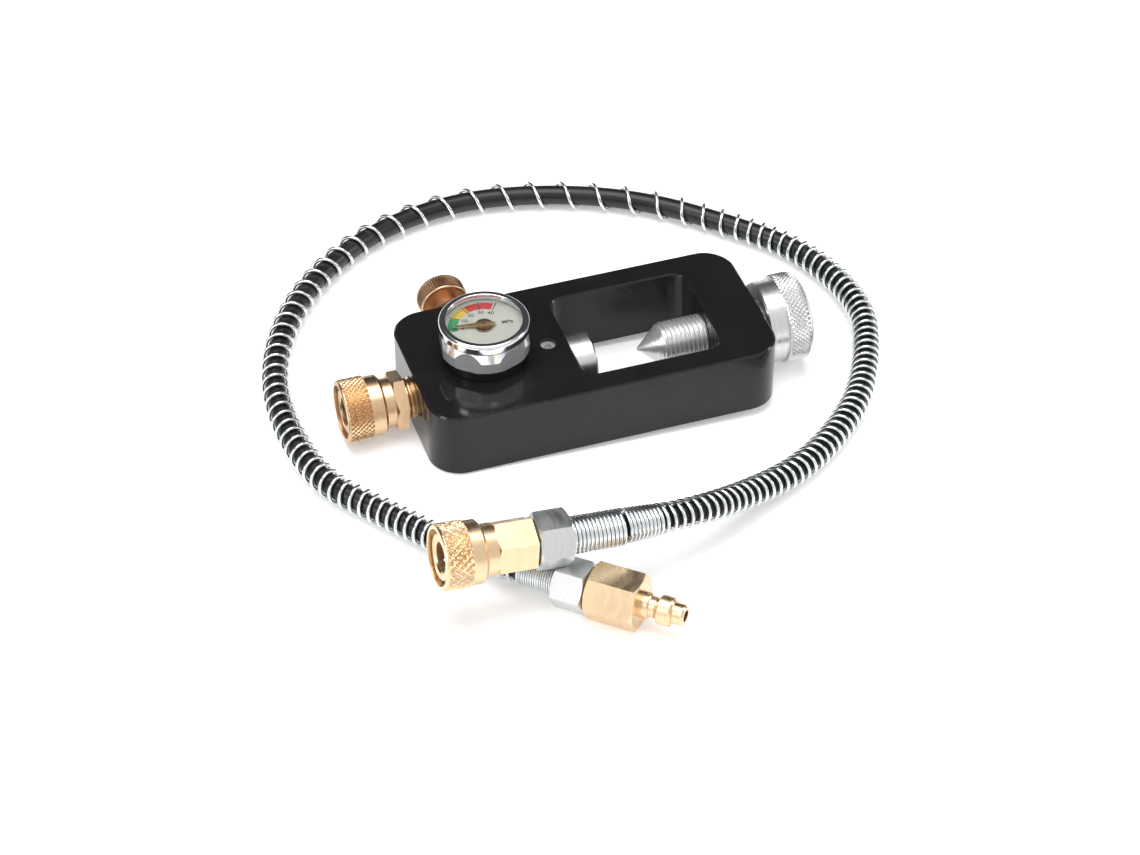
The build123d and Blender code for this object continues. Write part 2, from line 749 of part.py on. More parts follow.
# ---------------------------------------------------------------- quick couplers
def coupler(
    tag: str,
    seat: Plane,
    hex_start: float,
    hex_l: float,
    hex_flats: float,
    hex_turn: float,
    tail_l: float,
):
    """Female quick coupler: body, sliding sleeve, lock balls, poppet and their small pieces."""
    hex_end = hex_start + hex_l
    tail_end = hex_end + tail_l
    spring_seat_at = tail_end - 2.2
    ring_at = nose_bore_depth - 2.6
    bore_r = plug_collar_r + running
    land_r = nose_r + running
    rear_bore = neck_r + running

    with BuildPart() as body:
        hexagon(seat, hex_start, hex_end, hex_flats, hex_turn, (1, 0))
        turn(
            seat,
            [
                (nose_start, 0),
                (nose_start, nose_r - 0.3),
                (nose_start + 0.3, nose_r),
                (snap_start - 0.05, nose_r),
                (snap_start - 0.05, nose_r - 0.6),
                (snap_start + snap_t + 0.05, nose_r - 0.6),
                (snap_start + snap_t + 0.05, nose_r),
                (neck_start, nose_r),
                (neck_start, neck_r),
                (hex_start + 0.1, neck_r),
                (hex_start + 0.1, 0),
            ],
        )
        turn(
            seat,
            [(hex_end - 0.1, 0)]
            + [(hex_end - 0.1, tail_r - tail_depth)]
            + thread(hex_end + washer_t + 0.05, tail_end, tail_r, tail_pitch, tail_depth)
            + [(tail_end, tail_r - tail_depth), (tail_end, 0)],
        )
        turn(
            seat,
            [
                (nose_start - 1, 0),
                (nose_start - 1, bore_r + 0.5),
                (nose_start, bore_r + 0.5),
                (nose_start + 0.5, bore_r),
                (plug_bore_depth, bore_r),
                (plug_bore_depth, plug_nose_r + running),
                (ring_at - 0.7, plug_nose_r + running),
                (ring_at - 0.7, plug_nose_r + 1.3),
                (ring_at + 0.7, plug_nose_r + 1.3),
                (ring_at + 0.7, plug_nose_r + running),
                (nose_bore_depth, plug_nose_r + running),
                (nose_bore_depth, valve_seat_r),
                (valve_seat_depth, valve_seat_r),
                (valve_seat_depth, valve_cavity_r),
                (tail_end + 1, valve_cavity_r),
                (tail_end + 1, 0),
            ],
            Mode.SUBTRACT,
        )
        for ball in range(ball_count):
            plane = radial(seat, ball_at, ball * 360 / ball_count)
            round_boss(plane, 0, nose_r + 1, ball_r + running, Mode.SUBTRACT)
    save(body, f"{tag}_coupler_body")

    with BuildPart() as sleeve:
        turn(
            seat,
            [
                (0, counterbore_r),
                (0, front_r - 0.3),
                (0.3, front_r),
                (0.7, front_r),
                (0.9, knurl_r),
                (knurl_l - 0.2, knurl_r),
                (knurl_l, band_r),
                (sleeve_l - 0.8, band_r),
                (sleeve_l, band_r - 0.8),
                (sleeve_l, rear_bore),
                (sleeve_step, rear_bore),
                (sleeve_step, land_r),
                (snap_start + snap_t + 0.5 + face_gap, land_r),
                (snap_start + snap_t + face_gap, land_r + 0.5),
                (snap_start + snap_t + face_gap, counterbore_r),
            ],
        )
    save(sleeve, f"{tag}_coupler_sleeve")

    with BuildPart() as snap_ring:
        collar(seat, snap_start, snap_start + snap_t, nose_r - 0.55, snap_r)
        with BuildSketch(across(seat, snap_start - 0.1)) as gap:
            with Locations((nose_r, 0)):
                Rectangle(3, 2.2)
        extrude(gap.sketch, amount=snap_t + 0.2, mode=Mode.SUBTRACT)
    save(snap_ring, f"{tag}_snap_ring")

    with BuildPart(across(seat, ball_at)) as balls:
        with PolarLocations(nose_r - ball_r, ball_count):
            Sphere(ball_r)
    save(balls, f"{tag}_locking_balls")

    with BuildPart() as sleeve_spring:
        collar(seat, sleeve_step + 0.05, neck_start - 0.05, nose_r + 0.1, neck_r - 0.05)
    save(sleeve_spring, f"{tag}_sleeve_spring")

    with BuildPart() as bore_ring:
        cord_ring(seat, ring_at, plug_nose_r + 0.6, 0.65)
    save(bore_ring, f"{tag}_bore_ring")

    head_at = valve_seat_depth + face_gap
    tip_at = nose_bore_depth - 2.1

    with BuildPart() as poppet:
        turn(
            seat,
            [
                (tip_at, 0),
                (tip_at, 2.2),
                (tip_at + 0.2, 2.4),
                (tip_at + 1.0, 2.4),
                (tip_at + 1.3, 1.4),
                (head_at, 1.4),
                (head_at, valve_cavity_r - 0.4),
                (head_at + 1.6, valve_cavity_r - 0.4),
                (head_at + 1.6, 1.5),
                (head_at + 3.6, 1.5),
                (head_at + 3.6, 0),
            ],
        )
    save(poppet, f"{tag}_poppet")

    with BuildPart() as poppet_spring:
        collar(seat, head_at + 1.65, spring_seat_at - 0.05, 1.7, 2.9)
    save(poppet_spring, f"{tag}_poppet_spring")

    with BuildPart() as spring_seat:
        collar(seat, spring_seat_at, spring_seat_at + 1.4, 1.2, valve_cavity_r - snug)
    save(spring_seat, f"{tag}_spring_seat")


coupler(
    "block",
    mouth_seat,
    block_hex_start,
    block_hex_l,
    block_hex_flats,
    block_hex_turn,
    block_tail_l,
)
coupler(
    "hose",
    hose_seat,
    hose_hex_start,
    hose_hex_l,
    hose_hex_flats,
    hose_hex_turn,
    hose_tail_l,
)


# ---------------------------------------------------------------- hose ends
hose_hex_end = hose_hex_start + hose_hex_l
nut_a_start = hose_hex_end + washer_t
nut_a_end = nut_a_start + nut_a_l
hose_a = nut_a_end + 0.1

with BuildPart() as coupler_washer:
    collar(hose_seat, hose_hex_end, nut_a_start, tail_r - tail_depth + 0.1, tail_r + nut_a_wall - 0.7)
save(coupler_washer, "coupler_washer")

with BuildPart() as coupler_nut:
    hexagon(hose_seat, nut_a_start, nut_a_end, 2 * (tail_r + nut_a_wall), 30)
    bar(hose_seat, nut_a_start - 1, nut_a_end - nut_floor, tail_r + snug, Mode.SUBTRACT)
    bar(hose_seat, nut_a_end - nut_floor - 1, nut_a_end + 1, 2.7, Mode.SUBTRACT)
save(coupler_nut, "coupler_nut")

with BuildPart() as coupler_hose_tail:
    turn(
        hose_seat,
        [
            (hose_hex_end + hose_tail_l + 0.1, 0.8),
            (hose_hex_end + hose_tail_l + 0.1, tail_r - 0.5),
            (nut_a_end - nut_floor - 0.05, tail_r - 0.5),
            (nut_a_end - nut_floor - 0.05, 2.6),
            (hose_a - 0.02, 2.6),
            (hose_a - 0.02, barb_r),
            (hose_a + end_spring_a_l - 2, barb_r),
            (hose_a + end_spring_a_l - 2, 0.8),
        ],
    )
save(coupler_hose_tail, "coupler_hose_tail")

with BuildPart() as coupler_ferrule:
    collar(hose_seat, hose_a, hose_a + end_spring_a_l - 1.5, hose_r + snug, ferrule_a_r)
save(coupler_ferrule, "coupler_ferrule")

with BuildPart() as coupler_end_spring:
    collar(hose_seat, hose_a, hose_a + end_spring_a_l, end_spring_a_bore, end_spring_a_r)
save(coupler_end_spring, "coupler_end_spring")

adapter_start = nut_b_l + washer_t + 0.1
adapter_end = adapter_start + adapter_l
tail_face = 0.1 + nut_floor + 1.5

with BuildPart() as plug_nut:
    hexagon(plug_seat, 0.1, nut_b_l + 0.1, nut_b_flats, 30)
    bar(plug_seat, 0.1 + nut_floor, nut_b_l + 2, adapter_thread_r + snug, Mode.SUBTRACT)
    bar(plug_seat, -1, nut_floor + 1, 2.7, Mode.SUBTRACT)
save(plug_nut, "plug_nut")

with BuildPart() as plug_hose_tail:
    turn(
        plug_seat,
        [
            (tail_face, 0.8),
            (tail_face, adapter_thread_r - 0.2),
            (0.1 + nut_floor + 0.05, adapter_thread_r - 0.2),
            (0.1 + nut_floor + 0.05, 2.6),
            (0.02, 2.6),
            (0.02, barb_r),
            (-end_spring_b_l + 2, barb_r),
            (-end_spring_b_l + 2, 0.8),
        ],
    )
save(plug_hose_tail, "plug_hose_tail")

with BuildPart() as plug_ferrule:
    collar(plug_seat, -end_spring_b_l + 1.5, 0, hose_r + snug, ferrule_b_r)
save(plug_ferrule, "plug_ferrule")

with BuildPart() as plug_end_spring:
    collar(plug_seat, -end_spring_b_l, 0, end_spring_b_bore, end_spring_b_r)
save(plug_end_spring, "plug_end_spring")

with BuildPart() as plug_washer:
    collar(plug_seat, nut_b_l + 0.1, adapter_start, adapter_thread_r - 0.5, nut_b_flats / 2 - 0.6)
save(plug_washer, "plug_washer")

nipple_tail = 6.0

with BuildPart() as plug_adapter:
    hexagon(plug_seat, adapter_start, adapter_end, adapter_flats, 30)
    turn(
        plug_seat,
        [(tail_face + 0.05, 0), (tail_face + 0.05, adapter_thread_r - 0.6)]
        + thread(tail_face + 0.3, nut_b_l, adapter_thread_r, 1.0, 0.6)
        + [(adapter_start + 0.1, adapter_thread_r - 0.6), (adapter_start + 0.1, 0)],
    )
    bar(plug_seat, 0, adapter_end + 1, plug_bore_r, Mode.SUBTRACT)
    bar(plug_seat, adapter_end - nipple_tail, adapter_end + 1, plug_base_r + snug, Mode.SUBTRACT)
save(plug_adapter, "plug_adapter")

small_at = adapter_end + plug_base_l
neck_at = small_at + plug_small_l
collar_at = neck_at + plug_neck_l
nose_at = collar_at + plug_collar_l
plug_tip = nose_at + plug_nose_l

with BuildPart() as plug_nipple:
    turn(
        plug_seat,
        [
            (adapter_end - nipple_tail + 0.1, plug_bore_r),
            (adapter_end - nipple_tail + 0.1, plug_base_r),
            (small_at - 0.4, plug_base_r),
            (small_at, plug_base_r - 0.4),
            (small_at, plug_small_r),
            (neck_at, plug_small_r),
            (neck_at, plug_neck_r),
            (collar_at, plug_neck_r),
            (collar_at, plug_collar_r - 0.5),
            (collar_at + 0.5, plug_collar_r),
            (nose_at - 0.7, plug_collar_r),
            (nose_at, plug_collar_r - 0.7),
            (nose_at, plug_nose_r),
            (plug_tip - 0.5, plug_nose_r),
            (plug_tip, plug_nose_r - 0.5),
            (plug_tip, plug_bore_r),
        ],
    )
save(plug_nipple, "plug_nipple")

# ---------------------------------------------------------------- hose and spring guard
hose_start = hose_seat.from_local_coords(Vector(hose_a, 0, 0))
route = (
    [hose_start, hose_start + coupler_way.normalized() * first_run]
    + [Vector(*point) for point in hose_route]
    + [plug_end - plug_way.normalized() * last_run, plug_end]
)


def bend_radii(points: list) -> list:
    """Largest even bend at each corner: 0.45 of the shorter run, over the tangent of half the turn."""
    radii = []
    for before, corner, after in zip(points, points[1:], points[2:]):
        shorter = min((corner - before).length, (after - corner).length)
        turn_angle = radians((corner - before).get_angle(after - corner))
        radii.append(0.45 * shorter / tan(turn_angle / 2))
    return radii


radii = bend_radii(route)
guard_start = hose_seat.from_local_coords(Vector(hose_a + end_spring_a_l + 0.1, 0, 0))
guard_end = plug_seat.from_local_coords(Vector(-end_spring_b_l - 0.1, 0, 0))

with BuildPart() as hose:
    with BuildLine() as hose_line:
        FilletPolyline(*route, radius=radii)
    with BuildSketch(Plane(origin=route[0], z_dir=coupler_way)):
        Circle(hose_r)
        Circle(hose_bore, mode=Mode.SUBTRACT)
    sweep()
save(hose, "hose")

with BuildPart() as spring_guard:
    with BuildLine() as guard_line:
        FilletPolyline(guard_start, *route[1:-1], guard_end, radius=radii)
    with BuildSketch(Plane(origin=guard_start, z_dir=coupler_way)):
        Circle(guard_r)
        Circle(guard_bore, mode=Mode.SUBTRACT)
    sweep()
save(spring_guard, "spring_guard")

print("bend radii:", [round(radius, 1) for radius in radii])
hose_length = hose_line.wires()[0].length
section = 3.14159265 * (hose_r**2 - hose_bore**2)
volume_ratio = hose.part.volume / (section * hose_length)
print(f"hose length {hose_length:.1f}, volume over section times length {volume_ratio:.4f}")
print(f"lean {degrees(lean):.3f} degrees, bench origin {tuple(round(v, 3) for v in bench.origin)}")
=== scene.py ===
"""Cylinder filling yoke with its gauge, couplers and spring-guarded hose, on a pale floor."""
import json
import logging
from collections.abc import Callable
from dataclasses import dataclass
from enum import Enum
from math import cos, radians, sin, tau

import bmesh
import bpy
import numpy as np
from mathutils import Matrix, Vector


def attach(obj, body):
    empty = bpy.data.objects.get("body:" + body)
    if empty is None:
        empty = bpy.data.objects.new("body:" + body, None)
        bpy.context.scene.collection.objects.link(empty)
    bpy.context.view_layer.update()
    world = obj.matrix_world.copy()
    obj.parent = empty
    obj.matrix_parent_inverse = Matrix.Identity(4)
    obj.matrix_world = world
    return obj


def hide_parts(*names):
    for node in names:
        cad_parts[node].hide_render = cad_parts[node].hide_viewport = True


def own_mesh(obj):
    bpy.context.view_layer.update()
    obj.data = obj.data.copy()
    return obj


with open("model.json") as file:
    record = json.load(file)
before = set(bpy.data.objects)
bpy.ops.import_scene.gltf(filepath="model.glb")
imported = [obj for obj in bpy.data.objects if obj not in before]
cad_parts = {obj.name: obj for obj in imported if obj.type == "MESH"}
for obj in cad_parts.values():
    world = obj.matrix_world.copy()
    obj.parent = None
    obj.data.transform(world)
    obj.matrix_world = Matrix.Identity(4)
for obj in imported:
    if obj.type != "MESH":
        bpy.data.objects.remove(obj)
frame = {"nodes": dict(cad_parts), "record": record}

log = logging.getLogger("filling_yoke")
MM = 0.001
RECORD = frame["record"]
BUMP_DISTANCE = 0.00002  # metres, for every bumped finish
WIRE_SIDES = 8           # points round a spring's wire

# Places on the object, in millimetres.
KNOB_JOINT = 64.0    # from the block's middle to the knob's joint, along the screw
CLAMP_HEIGHT = 11.0  # from the block's underside to the screw's axis
PORT_DEPTH = 8.4     # from a coupler's mouth in to its mount's point
PLUG_REACH = 34.05   # from the hose's end to the plug's mount point
Colour = tuple[float, float, float]
Relief = Callable[[np.ndarray, np.ndarray], np.ndarray]


# ---------------------------------------------------------------- places taken from the frame
def joint(name: str) -> dict:
    """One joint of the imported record."""
    return next(row for row in RECORD["behaviour"]["joints"] if row["name"] == name)


def mount(name: str) -> dict:
    """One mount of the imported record."""
    return next(row for row in RECORD["mounts"] if row["name"] == name)


@dataclass(frozen=True)
class Seat:
    """Where a turned piece sits: a point on its axis, the way the axis runs, and an upward direction."""

    origin: Vector
    axis: Vector
    up: Vector

    def moved(self, along: float) -> "Seat":
        """The same seat, moved along its axis by some millimetres."""
        return Seat(self.origin + self.axis * along * MM, self.axis, self.up)

    def outward(self, turn: float) -> Vector:
        """Direction away from the axis, at an angle in degrees from the upward one."""
        angle = radians(turn)
        side = self.axis.cross(self.up)
        return self.up * cos(angle) + side * sin(angle)

    def points(self, along: np.ndarray, radius: np.ndarray, angle: np.ndarray) -> np.ndarray:
        """Points round the axis.

        Args:
            along: distances along the axis, in millimetres.
            radius: distances from the axis, in millimetres.
            angle: angles from the upward direction, right-handed about the axis, in radians.

        Returns:
            Points in the row frame, in metres, in a last dimension of three.
        """
        up = np.array(self.up)
        side = np.array(self.axis.cross(self.up))
        axis = np.array(self.axis)
        spread = np.cos(angle)[..., None] * up + np.sin(angle)[..., None] * side
        return np.array(self.origin) + MM * (along[..., None] * axis + radius[..., None] * spread)


@dataclass(frozen=True)
class Bench:
    """The block's own level frame: x along the clamp screw, y to the bleed knob, z up out of the block."""

    origin: Vector
    x: Vector
    y: Vector
    z: Vector

    @classmethod
    def from_joints(cls, knob_x: float, clamp_z: float) -> "Bench":
        """Find the frame from the clamp screw's joints.

        Args:
            knob_x: where the knob's joint stands along the screw, in millimetres.
            clamp_z: height of the screw's axis in the block, in millimetres.

        Returns:
            The frame, with its origin under the middle of the block.
        """
        x = Vector(joint("clamp_slide")["axis"]).normalized()
        y = Vector((0, 1, 0))
        z = x.cross(y)
        origin = Vector(joint("clamp_turn")["pos_m"]) - MM * (x * knob_x + z * clamp_z)
        return cls(origin, x, y, z)

    def point(self, x: float, y: float, z: float) -> Vector:
        """Row-frame point in metres for a bench point in millimetres."""
        return self.origin + MM * (self.x * x + self.y * y + self.z * z)


def seat_at_mount(name: str, along: float, reverse: bool) -> Seat:
    """Seat whose origin is a known distance before a mount's point.

    Args:
        name: the mount.
        along: distance from the seat's origin to the mount's point, in millimetres.
        reverse: whether the seat's axis runs against the mount's.

    Returns:
        The seat, with an upward direction square to its axis.
    """
    row = mount(name)
    axis = Vector(row["axis"]).normalized() * (-1 if reverse else 1)
    side = axis.cross(Vector((0, 0, 1))).normalized()
    return Seat(Vector(row["pos_m"]) - axis * along * MM, axis, side.cross(axis))


# ---------------------------------------------------------------- meshes
def link_piece(name: str, data: bpy.types.ID) -> bpy.types.Object:
    """Put new object data into the scene."""
    piece = bpy.data.objects.new(name, data)
    bpy.context.scene.collection.objects.link(piece)
    return piece


def evaluated_mesh(piece: bpy.types.Object) -> bpy.types.Mesh:
    """New mesh of a piece as it stands, with its modifiers or its curve worked out."""
    graph = bpy.context.evaluated_depsgraph_get()
    return bpy.data.meshes.new_from_object(piece.evaluated_get(graph))


def finish_mesh(mesh: bpy.types.Mesh, sharp: float) -> None:
    """Weld doubled points, turn faces outward and smooth the mesh up to an angle in degrees."""
    work = bmesh.new()
    work.from_mesh(mesh)
    bmesh.ops.remove_doubles(work, verts=work.verts, dist=1e-6)
    bmesh.ops.dissolve_degenerate(work, edges=work.edges, dist=1e-7)
    bmesh.ops.recalc_face_normals(work, faces=work.faces)
    work.to_mesh(mesh)
    work.free()
    mesh.shade_smooth()
    mesh.set_sharp_from_angle(angle=radians(sharp))


def skin(name: str, rows: np.ndarray, ring: bool, sharp: float = 35.0) -> bpy.types.Object:
    """Mesh over a grid of points whose columns go all the way round.

    Args:
        name: the piece's name.
        rows: points of shape (rows, columns, 3), in metres.
        ring: whether the last row joins the first.
        sharp: angle above which an edge stays sharp, in degrees.

    Returns:
        The new object.
    """
    count, around = rows.shape[:2]
    faces = []
    for row in range(count if ring else count - 1):
        below = row * around
        above = (row + 1) % count * around
        for column in range(around):
            after = (column + 1) % around
            faces.append((below + column, below + after, above + after, above + column))
    mesh = bpy.data.meshes.new(name)
    mesh.from_pydata(rows.reshape(-1, 3).tolist(), [], faces)
    finish_mesh(mesh, sharp)
    return link_piece(name, mesh)


def turned(
    name: str,
    seat: Seat,
    outline: np.ndarray,
    around: int = 96,
    relief: Relief | None = None,
    ring: bool = False,
    sharp: float = 35.0,
) -> bpy.types.Object:
    """Turned piece from an outline of (along, radius) points.

    Args:
        name: the piece's name.
        seat: its seat.
        outline: points of the outline, in millimetres, from axis to axis, or closed with ring.
        around: points in each circle.
        relief: gives what is added to the radius, for grids of along and angle.
        ring: whether the outline closes on itself away from the axis.
        sharp: angle above which an edge stays sharp, in degrees.

    Returns:
        The new object.
    """
    angle = np.linspace(0, tau, around, endpoint=False)
    along, angles = np.meshgrid(outline[:, 0], angle, indexing="ij")
    radius = np.repeat(outline[:, 1:2], around, axis=1)
    if relief is not None:
        radius = radius + relief(along, angles) * (outline[:, 2:3] if outline.shape[1] > 2 else 1)
    return skin(name, seat.points(along, radius, angles), ring, sharp)


def stretch(start: float, end: float, radius: float, step: float, cut: float = 1.0) -> np.ndarray:
    """Outline points of a straight stretch in small steps, with a third column that scales the relief."""
    along = np.linspace(start, end, int(abs(end - start) / step) + 2)
    return np.column_stack([along, np.full_like(along, radius), np.full_like(along, cut)])


def corner_arc(along: float, radius: float, size: float, turn_from: float, turn_to: float) -> np.ndarray:
    """Outline points of a rounded corner about a centre, between two angles in degrees."""
    angles = np.radians(np.linspace(turn_from, turn_to, 9))
    return np.column_stack([along + size * np.cos(angles), radius + size * np.sin(angles), np.zeros(9)])


def plain(*points: tuple[float, float]) -> np.ndarray:
    """Outline points that no relief touches."""
    return np.array([(along, radius, 0.0) for along, radius in points])


def tent(value: np.ndarray) -> np.ndarray:
    """Zigzag that is 0 at whole numbers and 1 half-way between them."""
    return np.abs(2 * (value - np.floor(value + 0.5)))


class KnurlStyle(Enum):
    """How a grip is cut."""

    DIAMOND = "two crossing sets of grooves"
    PITTED = "two crossing sets of ridges with pits between them"
    STRAIGHT = "grooves along the axis"


@dataclass(frozen=True)
class Knurl:
    """Grooves rolled into a grip, in millimetres."""

    style: KnurlStyle
    grooves: int
    depth: float
    start: float
    end: float
    lead: float = 1.0
    fade: float = 0.25

    def __call__(self, along: np.ndarray, angle: np.ndarray) -> np.ndarray:
        """Offset of the surface, nought on a ridge's top and minus the depth in a groove."""
        turns = angle / tau * self.grooves
        lean = (along - self.start) / self.lead
        ridge = tent(turns)
        if self.style is KnurlStyle.DIAMOND:
            ridge = np.minimum(tent(turns + lean), tent(turns - lean))
        elif self.style is KnurlStyle.PITTED:
            ridge = np.maximum(tent(turns + lean), tent(turns - lean)) ** 2.2
        inside = np.minimum(along - self.start, self.end - along) / self.fade
        return -self.depth * (1 - np.clip(1.2 * ridge, 0, 1)) * np.clip(inside, 0, 1)


@dataclass(frozen=True)
class Thread:
    """Right-handed screw thread that runs out at both ends, in millimetres."""

    pitch: float
    depth: float
    start: float
    end: float

    def __call__(self, along: np.ndarray, angle: np.ndarray) -> np.ndarray:
        """Offset of the surface, nought on the crest and minus the depth at the root."""
        ridge = np.clip(1.5 * tent(along / self.pitch - angle / tau) - 0.25, 0, 1)
        inside = np.minimum(along - self.start, self.end - along) / self.pitch
        return -self.depth * (1 - ridge * np.clip(inside, 0, 1))


@dataclass(frozen=True)
class Winding:
    """A spring on a straight seat, in millimetres: radius to the wire's middle, wire its own radius."""

    start: float
    end: float
    radius: float
    wire: float
    pitch: float


def turns_wound(along: np.ndarray, pitch: np.ndarray) -> np.ndarray:
    """Turns wound up to each point of a line, for the pitch at each."""
    return np.concatenate([[0], np.cumsum(np.diff(along) / pitch[1:])])


def points_at(places: np.ndarray, known: np.ndarray, points: np.ndarray) -> np.ndarray:
    """Points of a line at some distances along it, from points at known distances."""
    return np.column_stack([np.interp(places, known, points[:, axis]) for axis in range(3)])


def frames_along(path: np.ndarray, up: Vector) -> tuple[np.ndarray, np.ndarray, np.ndarray]:
    """Tangents and two directions square to them, carried along a path without twisting.

    Args:
        path: points of the path.
        up: rough direction of the first of the two at the start.

    Returns:
        Tangents, normals and binormals, one row for each point.
    """
    tangents = np.gradient(path, axis=0)
    tangents /= np.linalg.norm(tangents, axis=1)[:, None]
    normal = np.array(up) - tangents[0] * (np.array(up) @ tangents[0])
    normals = []
    for tangent in tangents:
        normal = normal - tangent * (normal @ tangent)
        normal /= np.linalg.norm(normal)
        normals.append(normal)
    return tangents, np.array(normals), np.cross(tangents, np.array(normals))


def coil(
    name: str,
    centre: np.ndarray,
    up: Vector,
    turns: np.ndarray,
    radius: np.ndarray,
    wire: float,
) -> bpy.types.Object:
    """Spring of round wire, wound right-handed about a line.

    Args:
        name: the piece's name.
        centre: points of the line, in metres.
        up: rough direction in which the winding starts.
        turns: number of turns wound up to each point.
        radius: radius of the wire's middle line at each point, in metres.
        wire: radius of the wire, in metres.

    Returns:
        The new object.
    """
    _, normals, binormals = frames_along(centre, up)
    angle = turns * tau
    outward = np.cos(angle)[:, None] * normals + np.sin(angle)[:, None] * binormals
    path = centre + radius[:, None] * outward
    along = np.gradient(path, axis=0)
    along /= np.linalg.norm(along, axis=1)[:, None]
    second = np.cross(along, outward)
    around = np.linspace(0, tau, WIRE_SIDES, endpoint=False)
    across = np.cos(around)[None, :, None] * outward[:, None]
    spread = across + np.sin(around)[None, :, None] * second[:, None]
    rows = path[:, None] + wire * spread
    ends = [np.repeat(path[index][None, None], WIRE_SIDES, axis=1) for index in (0, -1)]
    return skin(name, np.concatenate([ends[0], rows, ends[1]]), False, 60.0)


def straight_coil(name: str, seat: Seat, size: Winding) -> bpy.types.Object:
    """Spring on a straight seat, its ends closed by turns that nearly touch."""
    count = int((size.end - size.start) / size.pitch * 28) + 60
    along = np.linspace(size.start + size.wire, size.end - size.wire, count)
    pitch = np.full(count, size.pitch)
    closed = np.minimum(along - size.start, size.end - along) < 3 * size.wire
    pitch[closed] = 2.15 * size.wire
    centre = seat.points(along, np.zeros(count), np.zeros(count))
    radius = np.full(count, size.radius * MM)
    return coil(name, centre, seat.up, turns_wound(along, pitch), radius, size.wire * MM)


def outline_plate(
    name: str, seat: Seat, loops: list[np.ndarray], low: float, high: float
) -> bpy.types.Object:
    """Flat plate square to a seat's axis, from closed loops of points in its plane.

    Args:
        name: the piece's name.
        seat: the seat; the plate's first direction is its up and the second its side.
        loops: outlines of separate plates, each an array of (first, second) in millimetres.
        low: where the plates start along the axis, in millimetres.
        high: where they end.

    Returns:
        One object that holds all the plates.
    """
    mesh = bpy.data.meshes.new(name)
    work = bmesh.new()
    for loop in loops:
        radius = np.hypot(loop[:, 0], loop[:, 1])
        angle = np.arctan2(loop[:, 1], loop[:, 0])
        layers = [
            [work.verts.new(point) for point in seat.points(np.full(len(loop), level), radius, angle)]
            for level in (low, high)
        ]
        work.faces.new(layers[0])
        work.faces.new(layers[1])
        for index, vertex in enumerate(layers[0]):
            after = (index + 1) % len(loop)
            work.faces.new((vertex, layers[0][after], layers[1][after], layers[1][index]))
    bmesh.ops.recalc_face_normals(work, faces=work.faces)
    work.to_mesh(mesh)
    work.free()
    return link_piece(name, mesh)


# ---------------------------------------------------------------- node graphs
class Graph:
    """Short way to add and join the nodes of one tree."""

    def __init__(self, tree: bpy.types.NodeTree) -> None:
        """Work on this tree."""
        self.tree = tree

    def add(self, kind: str, settings: dict | None = None, **inputs: object) -> bpy.types.Node:
        """Add a node.

        Args:
            kind: the node's type.
            settings: properties of the node itself.
            inputs: values or output sockets for its inputs, by name, with underscores for spaces.

        Returns:
            The new node.
        """
        node = self.tree.nodes.new(kind)
        for key, value in (settings or {}).items():
            setattr(node, key, value)
        for key, value in inputs.items():
            self.feed(node, key.replace("_", " "), value)
        return node

    def feed(self, node: bpy.types.Node, key: str | int, value: object) -> None:
        """Join an output socket to an input, or set the input's value."""
        socket = node.inputs[key]
        if isinstance(value, bpy.types.NodeSocket):
            self.tree.links.new(value, socket)
        else:
            socket.default_value = value

    def math(self, operation: str, first: object, second: object = 0.0) -> bpy.types.NodeSocket:
        """Result of a Math node."""
        node = self.tree.nodes.new("ShaderNodeMath")
        node.operation = operation
        self.feed(node, 0, first)
        self.feed(node, 1, second)
        return node.outputs[0]

    def vector(self, operation: str, first: object, second: object) -> bpy.types.Node:
        """A Vector Math node."""
        node = self.tree.nodes.new("ShaderNodeVectorMath")
        node.operation = operation
        self.feed(node, 0, first)
        self.feed(node, 1, second)
        return node

    def mix(self, factor: object, first: object, second: object) -> bpy.types.NodeSocket:
        """Colour mixed from two by a factor."""
        node = self.tree.nodes.new("ShaderNodeMix")
        node.data_type = "RGBA"
        self.feed(node, 0, factor)
        self.feed(node, 6, first)
        self.feed(node, 7, second)
        return node.outputs[2]

    def span(self, value: object, low: object, high: object, source: tuple[float, float] = (0, 1)) -> object:
        """Value carried from one range to another, held inside it."""
        node = self.add("ShaderNodeMapRange", None, Value=value)
        self.feed(node, 1, source[0])
        self.feed(node, 2, source[1])
        self.feed(node, 3, low)
        self.feed(node, 4, high)
        return node.outputs[0]


def new_group(name: str, inputs: dict[str, tuple[str, object]], outputs: dict[str, str]) -> tuple:
    """Empty shader node group with named sockets.

    Args:
        name: the group's name.
        inputs: socket type and default value by input name.
        outputs: socket type by output name.

    Returns:
        The group, its graph, its input node and its output node.
    """
    tree = bpy.data.node_groups.new(name, "ShaderNodeTree")
    for key, (kind, value) in inputs.items():
        socket = tree.interface.new_socket(key, in_out="INPUT", socket_type=kind)
        socket.default_value = value
    for key, kind in outputs.items():
        tree.interface.new_socket(key, in_out="OUTPUT", socket_type=kind)
    return tree, Graph(tree), tree.nodes.new("NodeGroupInput"), tree.nodes.new("NodeGroupOutput")


